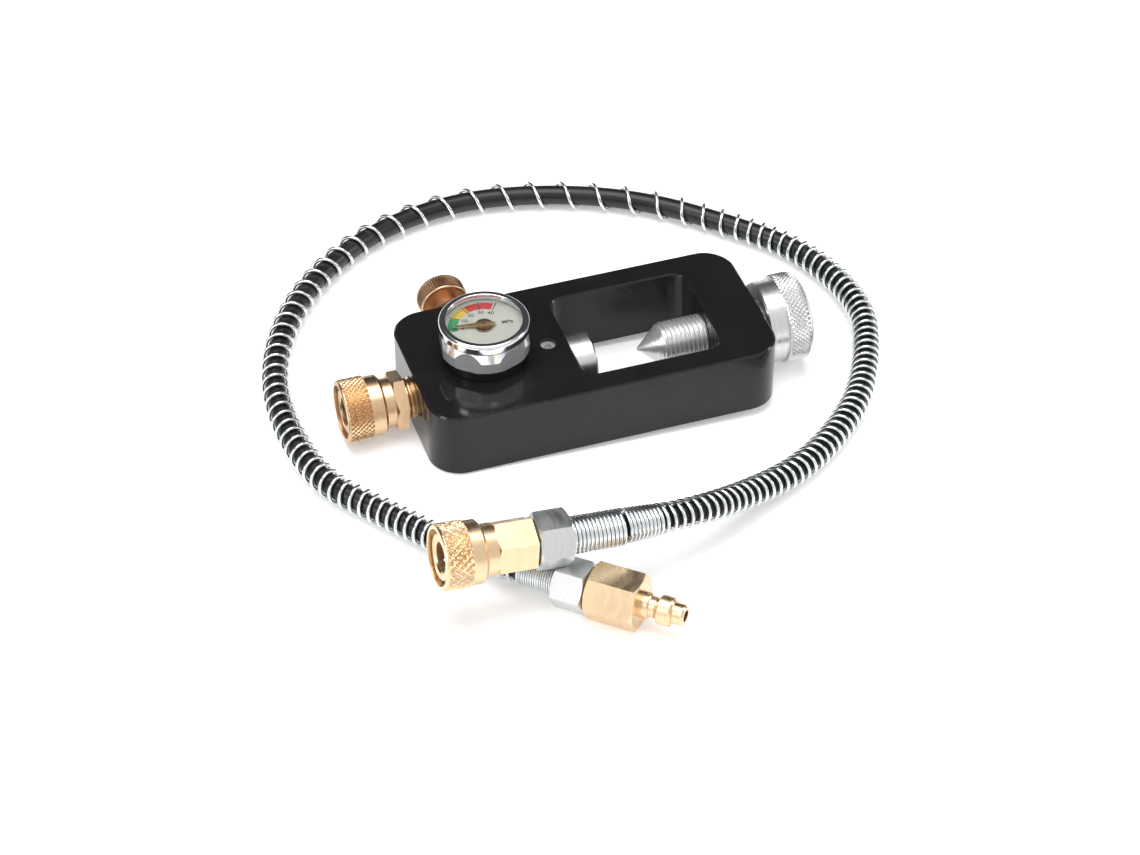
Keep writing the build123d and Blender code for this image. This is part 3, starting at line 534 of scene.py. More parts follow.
def lathe_group() -> bpy.types.NodeTree:
    """Fine rings that a tool leaves round an axis, as a height and as streaks of shade."""
    tree, graph, source, result = new_group(
        "Lathe marks",
        {
            "Origin": ("NodeSocketVector", (0, 0, 0)),
            "Axis": ("NodeSocketVector", (1, 0, 0)),
            "Scale": ("NodeSocketFloat", 4000.0),
        },
        {"Height": "NodeSocketFloat", "Streak": "NodeSocketFloat"},
    )
    place = graph.add("ShaderNodeTexCoord").outputs["Object"]
    offset = graph.vector("SUBTRACT", place, source.outputs["Origin"]).outputs[0]
    along = graph.vector("DOT_PRODUCT", offset, source.outputs["Axis"]).outputs["Value"]
    length = graph.vector("DOT_PRODUCT", offset, offset).outputs["Value"]
    square = graph.math("MAXIMUM", graph.math("SUBTRACT", length, graph.math("MULTIPLY", along, along)))
    radius = graph.math("SQRT", square)
    path = graph.math("MULTIPLY", graph.math("ADD", along, radius), source.outputs["Scale"])
    fine = graph.add("ShaderNodeTexNoise", {"noise_dimensions": "1D"}, W=path, Scale=1.0, Detail=2.0)
    slow = graph.math("MULTIPLY", path, 0.12)
    broad = graph.add("ShaderNodeTexNoise", {"noise_dimensions": "1D"}, W=slow, Scale=1.0, Detail=3.0)
    graph.feed(result, "Height", fine.outputs[0])
    graph.feed(result, "Streak", graph.span(broad.outputs[0], 0.0, 1.0, (0.35, 0.65)))
    return tree


def smudge_group() -> bpy.types.NodeTree:
    """Soft blotches between two values, for handling marks."""
    tree, graph, source, result = new_group(
        "Smudges",
        {
            "Scale": ("NodeSocketFloat", 90.0),
            "Low": ("NodeSocketFloat", 0.2),
            "High": ("NodeSocketFloat", 0.3),
        },
        {"Value": "NodeSocketFloat", "Mask": "NodeSocketFloat"},
    )
    place = graph.add("ShaderNodeTexCoord").outputs["Object"]
    noise = graph.add("ShaderNodeTexNoise", None, Vector=place, Scale=source.outputs["Scale"], Detail=4.0)
    mask = graph.span(noise.outputs[0], 0.0, 1.0, (0.32, 0.68))
    graph.feed(result, "Mask", mask)
    graph.feed(result, "Value", graph.span(mask, source.outputs["Low"], source.outputs["High"]))
    return tree


def edge_group() -> bpy.types.NodeTree:
    """Mask of the edges, broken up by noise, for wear and burnishing."""
    tree, graph, source, result = new_group(
        "Edge wear",
        {"Radius": ("NodeSocketFloat", 0.0004), "Breakup": ("NodeSocketFloat", 600.0)},
        {"Mask": "NodeSocketFloat"},
    )
    rounded = graph.add("ShaderNodeBevel", {"samples": 4}, Radius=source.outputs["Radius"])
    real = graph.add("ShaderNodeNewGeometry").outputs["Normal"]
    match = graph.vector("DOT_PRODUCT", rounded.outputs[0], real).outputs["Value"]
    bend = graph.span(match, 1.0, 0.0, (0.86, 0.995))
    place = graph.add("ShaderNodeTexCoord").outputs["Object"]
    noise = graph.add("ShaderNodeTexNoise", None, Vector=place, Scale=source.outputs["Breakup"], Detail=3.0)
    broken = graph.span(noise.outputs[0], 0.25, 1.0, (0.4, 0.6))
    graph.feed(result, "Mask", graph.math("MULTIPLY", bend, broken))
    return tree


def grain_group() -> bpy.types.NodeTree:
    """Fine even grain of a blasted, moulded or printed surface."""
    tree, graph, source, result = new_group(
        "Fine grain", {"Scale": ("NodeSocketFloat", 5000.0)}, {"Height": "NodeSocketFloat"}
    )
    place = graph.add("ShaderNodeTexCoord").outputs["Object"]
    noise = graph.add("ShaderNodeTexNoise", None, Vector=place, Scale=source.outputs["Scale"], Detail=2.0)
    graph.feed(result, "Height", noise.outputs[0])
    return tree


GROUPS = {"lathe": lathe_group(), "smudge": smudge_group(), "edge": edge_group(), "grain": grain_group()}


def place_group(graph: Graph, name: str, **inputs: object) -> bpy.types.Node:
    """Put one of the shared groups into a material, with its own values."""
    return graph.add("ShaderNodeGroup", {"node_tree": GROUPS[name]}, **inputs)


def blank_material(name: str) -> tuple[bpy.types.Material, Graph, bpy.types.Node]:
    """New material with only a Principled shader on its output."""
    material = bpy.data.materials.new(name)
    material.use_nodes = True
    material.node_tree.nodes.clear()
    graph = Graph(material.node_tree)
    shader = graph.add("ShaderNodeBsdfPrincipled")
    output = graph.add("ShaderNodeOutputMaterial")
    graph.feed(output, "Surface", shader.outputs[0])
    return material, graph, shader


def bump(graph: Graph, shader: bpy.types.Node, height: object, strength: float) -> None:
    """Raise a shader's surface by a fine height."""
    node = graph.add("ShaderNodeBump", None, Height=height)
    graph.feed(node, "Strength", strength)
    graph.feed(node, "Distance", BUMP_DISTANCE)
    graph.feed(shader, "Normal", node.outputs[0])


def opaque(colour: Colour) -> tuple[float, float, float, float]:
    """Colour with full alpha."""
    return (*colour, 1.0)


# ---------------------------------------------------------------- finishes
@dataclass(frozen=True)
class TurnedMetal:
    """Bare or plated metal with the tool's rings round its own axis."""

    name: str
    slot: str
    colour: Colour
    shade: Colour
    edge: Colour
    rough: tuple[float, float]
    rings: float = 0.25
    ring_scale: float = 5000.0
    tarnish: float = 0.35
    metallic: float = 1.0

    def build(self, seat: Seat, tag: str) -> bpy.types.Material:
        """Material for one seat.

        Args:
            seat: the axis that the rings go round.
            tag: what is added to the material's name.

        Returns:
            The material, made once for each tag.
        """
        title = f"{self.name} {tag}"
        if title in bpy.data.materials:
            return bpy.data.materials[title]
        material, graph, shader = blank_material(title)
        rings = place_group(
            graph, "lathe", Origin=tuple(seat.origin), Axis=tuple(seat.axis), Scale=self.ring_scale
        )
        wear = place_group(graph, "edge", Radius=0.0003, Breakup=900.0)
        smudge = place_group(graph, "smudge", Scale=160.0, Low=self.rough[0], High=self.rough[1])
        streak = graph.math("MULTIPLY", rings.outputs["Streak"], self.tarnish)
        body = graph.mix(streak, opaque(self.colour), opaque(self.shade))
        blotch = graph.math("MULTIPLY", smudge.outputs["Mask"], 0.4 * self.tarnish)
        body = graph.mix(blotch, body, opaque(self.shade))
        worn = graph.math("MULTIPLY", wear.outputs["Mask"], 0.7)
        graph.feed(shader, "Base Color", graph.mix(worn, body, opaque(self.edge)))
        graph.feed(shader, "Metallic", self.metallic)
        streaked = graph.math("MULTIPLY", rings.outputs["Streak"], 0.05)
        rough = graph.math("ADD", smudge.outputs["Value"], streaked)
        graph.feed(shader, "Roughness", rough)
        bump(graph, shader, rings.outputs["Height"], self.rings)
        return material


@dataclass(frozen=True)
class Coated:
    """Coloured surface with a grain, blotches and worn edges: anodised, moulded or printed."""

    name: str
    slot: str
    colour: Colour
    shade: Colour
    edge: Colour
    rough: tuple[float, float]
    grain: float = 0.1
    grain_scale: float = 6000.0
    wear: float = 0.5
    specular: float = 0.5
    smudge_scale: float = 60.0

    def build(self) -> bpy.types.Material:
        """The material, made once."""
        if self.name in bpy.data.materials:
            return bpy.data.materials[self.name]
        material, graph, shader = blank_material(self.name)
        smudge = place_group(graph, "smudge", Scale=self.smudge_scale, Low=self.rough[0], High=self.rough[1])
        wear = place_group(graph, "edge", Radius=0.00035, Breakup=700.0)
        grain = place_group(graph, "grain", Scale=self.grain_scale)
        body = graph.mix(smudge.outputs["Mask"], opaque(self.colour), opaque(self.shade))
        worn = graph.math("MULTIPLY", wear.outputs["Mask"], self.wear)
        graph.feed(shader, "Base Color", graph.mix(worn, body, opaque(self.edge)))
        graph.feed(shader, "Roughness", smudge.outputs["Value"])
        graph.feed(shader, "Specular IOR Level", self.specular)
        bump(graph, shader, grain.outputs["Height"], self.grain)
        return material


@dataclass(frozen=True)
class Clear:
    """Clear acrylic with faint handling marks."""

    name: str
    slot: str
    tint: Colour

    def build(self) -> bpy.types.Material:
        """The material, made once."""
        if self.name in bpy.data.materials:
            return bpy.data.materials[self.name]
        material, graph, shader = blank_material(self.name)
        smudge = place_group(graph, "smudge", Scale=240.0, Low=0.0, High=0.03)
        graph.feed(shader, "Base Color", opaque(self.tint))
        graph.feed(shader, "Roughness", smudge.outputs["Value"])
        graph.feed(shader, "Metallic", 0.0)
        graph.feed(shader, "Transmission Weight", 1.0)
        graph.feed(shader, "IOR", 1.45)
        return material


ANODISED = Coated(
    "black anodised aluminium", "black_anodised", (0.010, 0.009, 0.010), (0.014, 0.013, 0.014),
    (0.14, 0.14, 0.14), (0.06, 0.11), grain=0.06, wear=0.3, specular=0.3,
)
RUBBER = Coated(
    "smooth black hose rubber", "hose_rubber", (0.007, 0.007, 0.008), (0.013, 0.013, 0.015),
    (0.04, 0.04, 0.04), (0.26, 0.38), grain=0.3, grain_scale=3500.0, wear=0.2, specular=0.4,
)
SEAL_RUBBER = Coated(
    "sealing rubber", "seal_rubber", (0.016, 0.016, 0.016), (0.03, 0.03, 0.03),
    (0.05, 0.05, 0.05), (0.4, 0.5), grain=0.2, wear=0.1,
)
FIBRE = Coated(
    "dark sealing washer", "seal_washer", (0.05, 0.04, 0.03), (0.09, 0.07, 0.05),
    (0.12, 0.1, 0.08), (0.5, 0.7), grain=0.5, wear=0.2,
)
DIAL_WHITE = Coated(
    "printed dial white", "dial_white", (0.74, 0.75, 0.68), (0.70, 0.71, 0.64),
    (0.7, 0.7, 0.66), (0.45, 0.55), grain=0.05, wear=0.0,
)
INK = Coated(
    "printing ink", "dial_white", (0.03, 0.03, 0.03), (0.05, 0.05, 0.05),
    (0.04, 0.04, 0.04), (0.5, 0.6), grain=0.05, wear=0.0,
)
BAND_GREEN = Coated(
    "dial band green", "dial_white", (0.06, 0.36, 0.15), (0.08, 0.42, 0.19),
    (0.06, 0.36, 0.15), (0.5, 0.6), grain=0.05, wear=0.0,
)
BAND_AMBER = Coated(
    "dial band amber", "dial_white", (0.86, 0.55, 0.07), (0.9, 0.62, 0.12),
    (0.86, 0.55, 0.07), (0.5, 0.6), grain=0.05, wear=0.0,
)
BAND_RED = Coated(
    "dial band red", "dial_white", (0.72, 0.055, 0.06), (0.76, 0.09, 0.09),
    (0.72, 0.055, 0.06), (0.5, 0.6), grain=0.05, wear=0.0,
)
VALVE_PLASTIC = Coated(
    "white sealing plastic", "valve_plastic", (0.74, 0.72, 0.66), (0.66, 0.63, 0.56),
    (0.8, 0.78, 0.72), (0.35, 0.45), grain=0.2, wear=0.2,
)
LENS = Clear("clear acrylic window", "clear_lens", (0.98, 0.99, 0.985))

ALUMINIUM = TurnedMetal(
    "bright turned aluminium", "bright_aluminium", (0.70, 0.70, 0.71), (0.56, 0.56, 0.57),
    (0.86, 0.86, 0.87), (0.24, 0.34), rings=0.35, ring_scale=4200.0,
)
ZINC = TurnedMetal(
    "zinc-plated steel", "zinc_steel", (0.70, 0.71, 0.71), (0.58, 0.59, 0.59),
    (0.84, 0.85, 0.85), (0.26, 0.38), rings=0.2,
)
WIRE = TurnedMetal(
    "bright spring wire", "zinc_steel", (0.80, 0.83, 0.84), (0.62, 0.66, 0.67),
    (0.9, 0.92, 0.92), (0.16, 0.28), rings=0.1, tarnish=0.5,
)
SPINDLE = TurnedMetal(
    "cut steel", "zinc_steel", (0.74, 0.74, 0.75), (0.60, 0.60, 0.61),
    (0.9, 0.9, 0.91), (0.2, 0.32), rings=0.3, metallic=0.72,
)
DARK_STEEL = TurnedMetal(
    "blackened screw steel", "dark_steel", (0.34, 0.33, 0.31), (0.16, 0.15, 0.14),
    (0.6, 0.58, 0.54), (0.32, 0.45), rings=0.2,
)
SPRING_STEEL = TurnedMetal(
    "spring steel", "spring_steel", (0.56, 0.55, 0.53), (0.4, 0.4, 0.39),
    (0.75, 0.75, 0.74), (0.2, 0.34), rings=0.15,
)
BRASS = TurnedMetal(
    "yellow brass", "yellow_brass", (0.81, 0.60, 0.385), (0.73, 0.51, 0.30),
    (0.95, 0.78, 0.53), (0.22, 0.3), rings=0.15, ring_scale=3800.0, tarnish=0.25,
)
DRAWN_BRASS = TurnedMetal(
    "drawn brass bar", "yellow_brass", (0.81, 0.60, 0.385), (0.76, 0.545, 0.335),
    (0.95, 0.78, 0.53), (0.2, 0.28), rings=0.05, ring_scale=3800.0, tarnish=0.2,
)
RED_BRASS = TurnedMetal(
    "red brass", "yellow_brass", (0.72, 0.505, 0.315), (0.60, 0.40, 0.23),
    (0.92, 0.70, 0.44), (0.22, 0.32), rings=0.2, ring_scale=3800.0, tarnish=0.3,
)
COPPER_BRASS = TurnedMetal(
    "copper-red brass", "copper_brass", (0.70, 0.43, 0.255), (0.56, 0.32, 0.175),
    (0.86, 0.60, 0.40), (0.26, 0.36), rings=0.25,
)
CHROME = TurnedMetal(
    "polished chrome", "gauge_chrome", (0.82, 0.82, 0.84), (0.74, 0.74, 0.76),
    (0.9, 0.9, 0.92), (0.04, 0.08), rings=0.03, tarnish=0.2,
)
CASE_CHROME = TurnedMetal(
    "plated gauge case", "gauge_chrome", (0.84, 0.84, 0.86), (0.72, 0.72, 0.75),
    (0.95, 0.95, 0.96), (0.06, 0.12), rings=0.05, tarnish=0.3, metallic=0.74,
)
POINTER_GOLD = TurnedMetal(
    "gold-coloured pointer", "pointer_gold", (0.80, 0.60, 0.33), (0.66, 0.46, 0.22),
    (0.86, 0.68, 0.42), (0.3, 0.4), rings=0.1,
)
POINTER_HUB = TurnedMetal(
    "bronze pointer hub", "pointer_gold", (0.40, 0.25, 0.17), (0.28, 0.17, 0.12),
    (0.62, 0.42, 0.30), (0.25, 0.35), rings=0.2,
)


def dress(piece: bpy.types.Object, material: bpy.types.Material) -> None:
    """Give a piece or a node one material all over."""
    if piece.material_slots:
        for material_slot in piece.material_slots:
            material_slot.material = material
    else:
        piece.data.materials.append(material)


def settle(
    piece: bpy.types.Object, material: bpy.types.Material, body: str, slot: str, *stands_for: str
) -> bpy.types.Object:
    """Dress a new piece, tie it to its body and hide the nodes that it stands for.

    Args:
        piece: the piece.
        material: what it is dressed in.
        body: the body that it moves with.
        slot: the record's slot that its finish belongs to; not used.
        stands_for: CAD nodes that it hides.

    Returns:
        The same piece.
    """
    dress(piece, material)
    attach(piece, body)
    if stands_for:
        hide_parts(*stands_for)
    log.info("%s rides on %s", piece.name, body)
    return piece


def dress_nodes(material: bpy.types.Material, *names: str) -> None:
    """Give carried-over nodes one material."""
    for name in names:
        dress(frame["nodes"][name], material)
        log.info("%s dressed in %s", name, material.name)


def drill(piece: bpy.types.Object, seat: Seat, start: float, end: float, radius: float) -> None:
    """Drill a round hole into a piece for good.

    Args:
        piece: the piece to drill.
        seat: its axis is the hole's.
        start: where the drill starts along the axis, in millimetres.
        end: where it ends.
        radius: the hole's radius.
    """
    outline = plain((start, 0), (start, radius), (end, radius), (end, 0))
    drill_bit = turned("drill_bit", seat, outline, around=32)
    cut = piece.modifiers.new("hole", "BOOLEAN")
    cut.operation = "DIFFERENCE"
    cut.object = drill_bit
    cut.solver = "EXACT"
    drilled = evaluated_mesh(piece)
    piece.modifiers.remove(cut)
    piece.data = drilled
    bpy.data.objects.remove(drill_bit)
    drilled.set_sharp_from_angle(angle=radians(35))


# ---------------------------------------------------------------- studio
@dataclass
class Studio:
    """Pale floor, soft lights and the camera, sizes in metres."""

    bench: Bench
    aim_mm: tuple[float, float, float] = (-10.32, -16.63, 0.0)
    yaw: float = 18.67
    fall: float = 41.16
    distance: float = 1.0
    lens: float = 102.13
    sensor: float = 36.0
    floor_size: float = 6.0

    def build(self) -> None:
        """Set up the whole studio."""
        self.place_camera()
        self.lay_floor()
        self.hang_lights()
        self.set_surroundings()

    def place_camera(self) -> None:
        """Camera level with the block, looking down on it from the front left."""
        yaw = radians(self.yaw)
        fall = radians(self.fall)
        bench = self.bench
        look = (bench.x * sin(yaw) + bench.y * cos(yaw)) * cos(fall) - bench.z * sin(fall)
        right = look.cross(bench.z).normalized()
        up = right.cross(look)
        place = bench.point(*self.aim_mm) - look * self.distance
        camera = link_piece("camera", bpy.data.cameras.new("camera"))
        turn = Matrix((right, up, -look)).transposed().to_4x4()
        camera.matrix_world = Matrix.Translation(place) @ turn
        camera.data.lens = self.lens
        camera.data.sensor_width = self.sensor
        camera.data.clip_start = 0.01
        bpy.context.scene.camera = camera

    def lay_floor(self) -> None:
        """Wide pale floor at the height that everything stands on."""
        half = self.floor_size / 2
        mesh = bpy.data.meshes.new("floor")
        corners = [(-half, -half, 0), (half, -half, 0), (half, half, 0), (-half, half, 0)]
        mesh.from_pydata(corners, [], [(0, 1, 2, 3)])
        floor = link_piece("floor", mesh)
        material, graph, shader = blank_material("pale floor")
        graph.feed(shader, "Base Color", opaque((0.9, 0.9, 0.9)))
        graph.feed(shader, "Roughness", 0.9)
        graph.feed(shader, "Specular IOR Level", 0.1)
        graph.feed(shader, "Emission Color", opaque((1, 1, 1)))
        graph.feed(shader, "Emission Strength", 0.28)
        dress(floor, material)

    def softbox(self, name: str, place: Colour, size: tuple[float, float], power: float) -> None:
        """Rectangular soft light that faces the block.

        Args:
            name: the light's name.
            place: where it hangs, in metres.
            size: its width and height, in metres.
            power: its power in watts.
        """
        data = bpy.data.lights.new(name, "AREA")
        data.shape = "RECTANGLE"
        data.size, data.size_y = size
        data.energy = power
        light = link_piece(name, data)
        light.location = place
        light.rotation_euler = Vector(place).to_track_quat("Z", "Y").to_euler()

    def hang_lights(self) -> None:
        """A wide light overhead, one from the left and a low one from the right."""
        self.softbox("top_softbox", (-0.1, 0.05, 1.4), (1.1, 1.1), 15.0)
        self.softbox("left_softbox", (-1.25, -0.35, 0.7), (0.4, 0.9), 6.0)
        self.softbox("right_softbox", (1.3, -0.2, 0.6), (0.3, 0.7), 3.5)

    def set_surroundings(self) -> None:
        """Room that is bright in front and overhead and dark behind, so that metal has something to show."""
        world = bpy.data.worlds.new("room")
        world.use_nodes = True
        world.node_tree.nodes.clear()
        graph = Graph(world.node_tree)
        way = graph.add("ShaderNodeTexCoord").outputs["Generated"]
        parts = graph.add("ShaderNodeSeparateXYZ", None, Vector=way).outputs
        front = graph.span(parts["Y"], 1.0, 0.0, (-0.45, 0.25))
        overhead = graph.span(parts["Z"], 0.0, 1.0, (0.72, 0.95))
        bright = graph.math("MAXIMUM", front, overhead)
        colour = graph.mix(bright, (0.07, 0.07, 0.075, 1), (0.95, 0.95, 0.94, 1))
        background = graph.add("ShaderNodeBackground", None, Color=colour, Strength=0.95)
        output = graph.add("ShaderNodeOutputWorld")
        graph.feed(output, "Surface", background.outputs[0])
        bpy.context.scene.world = world
        bpy.context.scene.view_settings.view_transform = "Standard"


# ---------------------------------------------------------------- block and clamp screw
@dataclass
class Block:
    """The anodised block with its seal insert and lock screw, sizes in millimetres."""

    bench: Bench
    clamp: Seat
    lock_x: float = -12.3
    lock_y: float = -1.2
    height: float = 22.0

    def build(self) -> None:
        """Dress the block's own nodes."""
        dress_nodes(ANODISED.build(), "yoke_block")
        dress_nodes(ALUMINIUM.build(self.clamp, "insert"), "seal_insert")
        dress_nodes(SEAL_RUBBER.build(), "valve_seat_ring", "insert_tail_ring")
        lock = Seat(self.bench.point(self.lock_x, self.lock_y, self.height), self.bench.z, self.bench.x)
        dress_nodes(SPINDLE.build(lock, "lock"), "lock_screw")


@dataclass
class ClampScrew:
    """The pointed spindle and its knurled knob, sizes in millimetres from the block's middle."""

    seat: Seat
    tip: float = 17.3
    cone: float = 7.0
    radius: float = 7.0
    pitch: float = 1.5
    thread_depth: float = 0.85
    hub_start: float = 57.5
    hub_radius: float = 13.0
    rim_start: float = 63.8
    rim_radius: float = 14.2
    rim_round: float = 3.2
    end: float = 72.2
    shank_radius: float = 5.0
    shank_end: float = 70.0
    knurls: int = 56
    grub_radius: float = 2.03
    grub_angle: float = 200.0
    grub_depth: float = 6.0

    def build(self) -> None:
        """Cut the spindle and the knob, which turn together as the screw moves."""
        self.cut_spindle()
        self.cut_knob()
        dress_nodes(DARK_STEEL.build(self.seat, "knob grub"), "knob_grub_screw")

    def cut_spindle(self) -> None:
        """Spindle with a true helical thread and a turned cone."""
        root = self.tip + self.cone
        end = self.hub_start - 0.05
        outline = np.concatenate([
            plain((self.tip, 0.0), (self.tip + 0.05, 0.25), (self.tip + 0.25, 0.5)),
            plain((root - 0.15, self.radius - self.thread_depth - 0.15)),
            stretch(root, end, self.radius, self.pitch / 12),
            plain((end, self.shank_radius), (self.shank_end - 0.6, self.shank_radius)),
            plain((self.shank_end, self.shank_radius - 0.6), (self.shank_end, 0.0)),
        ])
        thread = Thread(self.pitch, self.thread_depth, root - 0.2, end + 2 * self.pitch)
        spindle = turned("threaded_spindle", self.seat, outline, around=80, relief=thread, sharp=50)
        settle(spindle, SPINDLE.build(self.seat, "spindle"), "knob", SPINDLE.slot, "clamp_spindle")

    def cut_knob(self) -> None:
        """Knob with a plain hub, a diamond-knurled rim and a dished end."""
        face = self.end - 0.5
        round_at = self.end - self.rim_round
        bore = self.shank_radius + 0.05
        bore_end = self.shank_end + 0.3
        outline = np.concatenate([
            plain((face, 0.0), (face, 8.9), (face + 0.1, 9.2), (self.end, 9.7)),
            corner_arc(round_at, self.rim_radius - self.rim_round, self.rim_round, 4, 60),
            stretch(round_at + self.rim_round / 2, self.rim_start + 0.5, self.rim_radius, 0.16),
            plain((self.rim_start, self.rim_radius - 0.45), (self.rim_start, self.hub_radius)),
            plain((self.hub_start + 0.5, self.hub_radius), (self.hub_start, self.hub_radius - 0.5)),
            plain((self.hub_start, bore), (bore_end, bore), (bore_end, 0.0)),
        ])
        knurl_rows = outline[:, 2] > 0
        past = np.clip(outline[knurl_rows, 0] - round_at, 0, self.rim_round)
        drop = self.rim_round - np.sqrt(self.rim_round**2 - past**2)
        outline[knurl_rows, 1] -= drop
        knurl = Knurl(
            KnurlStyle.DIAMOND, self.knurls, 0.55, self.rim_start + 0.3, self.end - 1.1, lead=1.6
        )
        knob = turned(
            "clamp_knob_knurled", self.seat, outline, around=self.knurls * 8, relief=knurl, sharp=28
        )
        middle = self.seat.moved((self.hub_start + self.rim_start) / 2)
        hole = Seat(middle.origin, self.seat.outward(self.grub_angle), self.seat.axis)
        drill(knob, hole, self.grub_depth, self.hub_radius + 1, self.grub_radius)
        settle(knob, ALUMINIUM.build(self.seat, "knob"), "knob", ALUMINIUM.slot, "clamp_knob")


# ---------------------------------------------------------------- pressure gauge
@dataclass
class PressureGauge:
    """Miniature gauge with a chromed six-sided case and a printed dial, sizes in millimetres."""

    bench: Bench
    x: float = -32.3
    block_height: float = 22.0
    dial_top: float = 10.7
    band_outer: float = 10.9
    band_inner: float = 7.9
    up_turn: float = 71.33
    band_turns: tuple[float, ...] = (104.0, 70.0, 36.0, -13.0)
    numeral_radius: float = 6.35
    numeral_size: float = 2.0
    zero_turn: float = 97.0
    full_turn: float = -17.0
    marks: int = 20
    mark_half_width: float = 0.55
    long_half_width: float = 0.9
    mark_length: float = 1.2
    long_overrun: tuple[float, float] = (0.35, 0.25)
    band_levels: tuple[float, float] = (0.01, 0.04)
    mark_levels: tuple[float, float] = (0.045, 0.06)
    letter_lift: float = 0.06
    letter_depth: float = 0.01
    letter_growth: float = 0.012
    unit_place: tuple[float, float, float] = (7.2, -72.0, 15.0)

    def __post_init__(self) -> None:
        """Work out the dial's seat, whose up is the dial's own upward direction."""
        up = radians(self.up_turn)
        way = self.bench.x * cos(up) + self.bench.y * sin(up)
        self.seat = Seat(self.bench.point(self.x, 0, self.block_height), self.bench.z, way)

    def build(self) -> None:
        """Dress the gauge's nodes and print its dial."""
        chrome = CHROME.build(self.seat, "gauge")
        brass = BRASS.build(self.seat, "gauge")
        dress_nodes(chrome, "gauge_bezel")
        dress_nodes(CASE_CHROME.build(self.seat, "case"), "gauge_case")
        dress_nodes(ANODISED.build(), "gauge_base_ring")
        dress_nodes(brass, "gauge_stem", "bourdon_tube", "gauge_link", "pointer_shaft")
        dress_nodes(FIBRE.build(), "gauge_seal")
        dress_nodes(LENS.build(), "gauge_lens")
        dress_nodes(DIAL_WHITE.build(), "gauge_dial")
        dress_nodes(POINTER_GOLD.build(self.seat, "pointer"), "gauge_pointer")
        dress_nodes(POINTER_HUB.build(self.seat, "pointer"), "pointer_boss")
        self.print_band()
        self.print_marks()
        self.print_words()

    def sector(self, start: float, end: float, inner: float, outer: float) -> np.ndarray:
        """Loop round a part of a ring, angles in degrees from the dial's upward direction."""
        angles = np.radians(np.linspace(start, end, max(int(abs(end - start) / 2), 2)))
        far = np.column_stack([outer * np.cos(angles), outer * np.sin(angles)])
        near = np.column_stack([inner * np.cos(angles), inner * np.sin(angles)])[::-1]
        return np.concatenate([far, near])

    def print_band(self) -> None:
        """Coloured band in three parts."""
        finishes = (BAND_GREEN, BAND_AMBER, BAND_RED)
        names = ("dial_band_green", "dial_band_amber", "dial_band_red")
        for name, finish, start, end in zip(names, finishes, self.band_turns, self.band_turns[1:]):
            loop = self.sector(start, end, self.band_inner, self.band_outer)
            low, high = (self.dial_top + level for level in self.band_levels)
            band = outline_plate(name, self.seat, [loop], low, high)
            settle(band, finish.build(), "yoke", finish.slot)

    def print_marks(self) -> None:
        """Short and long division marks over the band."""
        loops = []
        for mark in range(self.marks + 1):
            turn = self.zero_turn + (self.full_turn - self.zero_turn) * mark / self.marks
            long_mark = mark % 5 == 0
            width = self.long_half_width if long_mark else self.mark_half_width
            outer = self.band_outer
            inner = self.band_outer - self.mark_length
            if long_mark:
                outer = self.band_outer + self.long_overrun[0]
                inner = self.band_inner - self.long_overrun[1]
            loops.append(self.sector(turn - width, turn + width, inner, outer))
        low, high = (self.dial_top + level for level in self.mark_levels)
        marks = outline_plate("dial_marks", self.seat, loops, low, high)
        settle(marks, INK.build(), "yoke", INK.slot)

    def word(self, name: str, words: str, size: float, radius: float, turn: float, tilt: float) -> None:
        """Print a number or a unit on the dial.

        Args:
            name: the piece's name.
            words: what is printed.
            size: height of the letters, in millimetres.
            radius: how far its middle is from the dial's middle.
            turn: its direction from the dial's upward direction, in degrees.
            tilt: how far the letters are turned, in degrees.
        """
        text = bpy.data.curves.new(name, "FONT")
        text.body = words
        text.size = size * MM
        text.extrude = self.letter_depth * MM
        text.align_x = "CENTER"
        text.align_y = "CENTER"
        text.offset = self.letter_growth * MM
        carrier = link_piece(f"{name}_text", text)
        mesh = evaluated_mesh(carrier)
        bpy.data.objects.remove(carrier)
        up = self.seat.up
        right = up.cross(self.seat.axis)
        middle = self.seat.origin + self.seat.axis * (self.dial_top + self.letter_lift) * MM
        middle += self.seat.outward(turn) * radius * MM
        facing = Matrix((right, up, self.seat.axis)).transposed().to_4x4()
        mesh.transform(Matrix.Translation(middle) @ facing @ Matrix.Rotation(radians(tilt), 4, "Z"))
        piece = link_piece(name, mesh)
        settle(piece, INK.build(), "yoke", INK.slot)

    def print_words(self) -> None:
        """Numbers inside the band and the unit on the right."""
        count = 4
        for step in range(count + 1):
            turn = self.zero_turn + (self.full_turn - self.zero_turn) * step / count
            number = str(step * 10)
            self.word(f"dial_number_{number}", number, self.numeral_size, self.numeral_radius, turn, 0)
        self.word("dial_unit", "MPa", self.numeral_size, *self.unit_place)


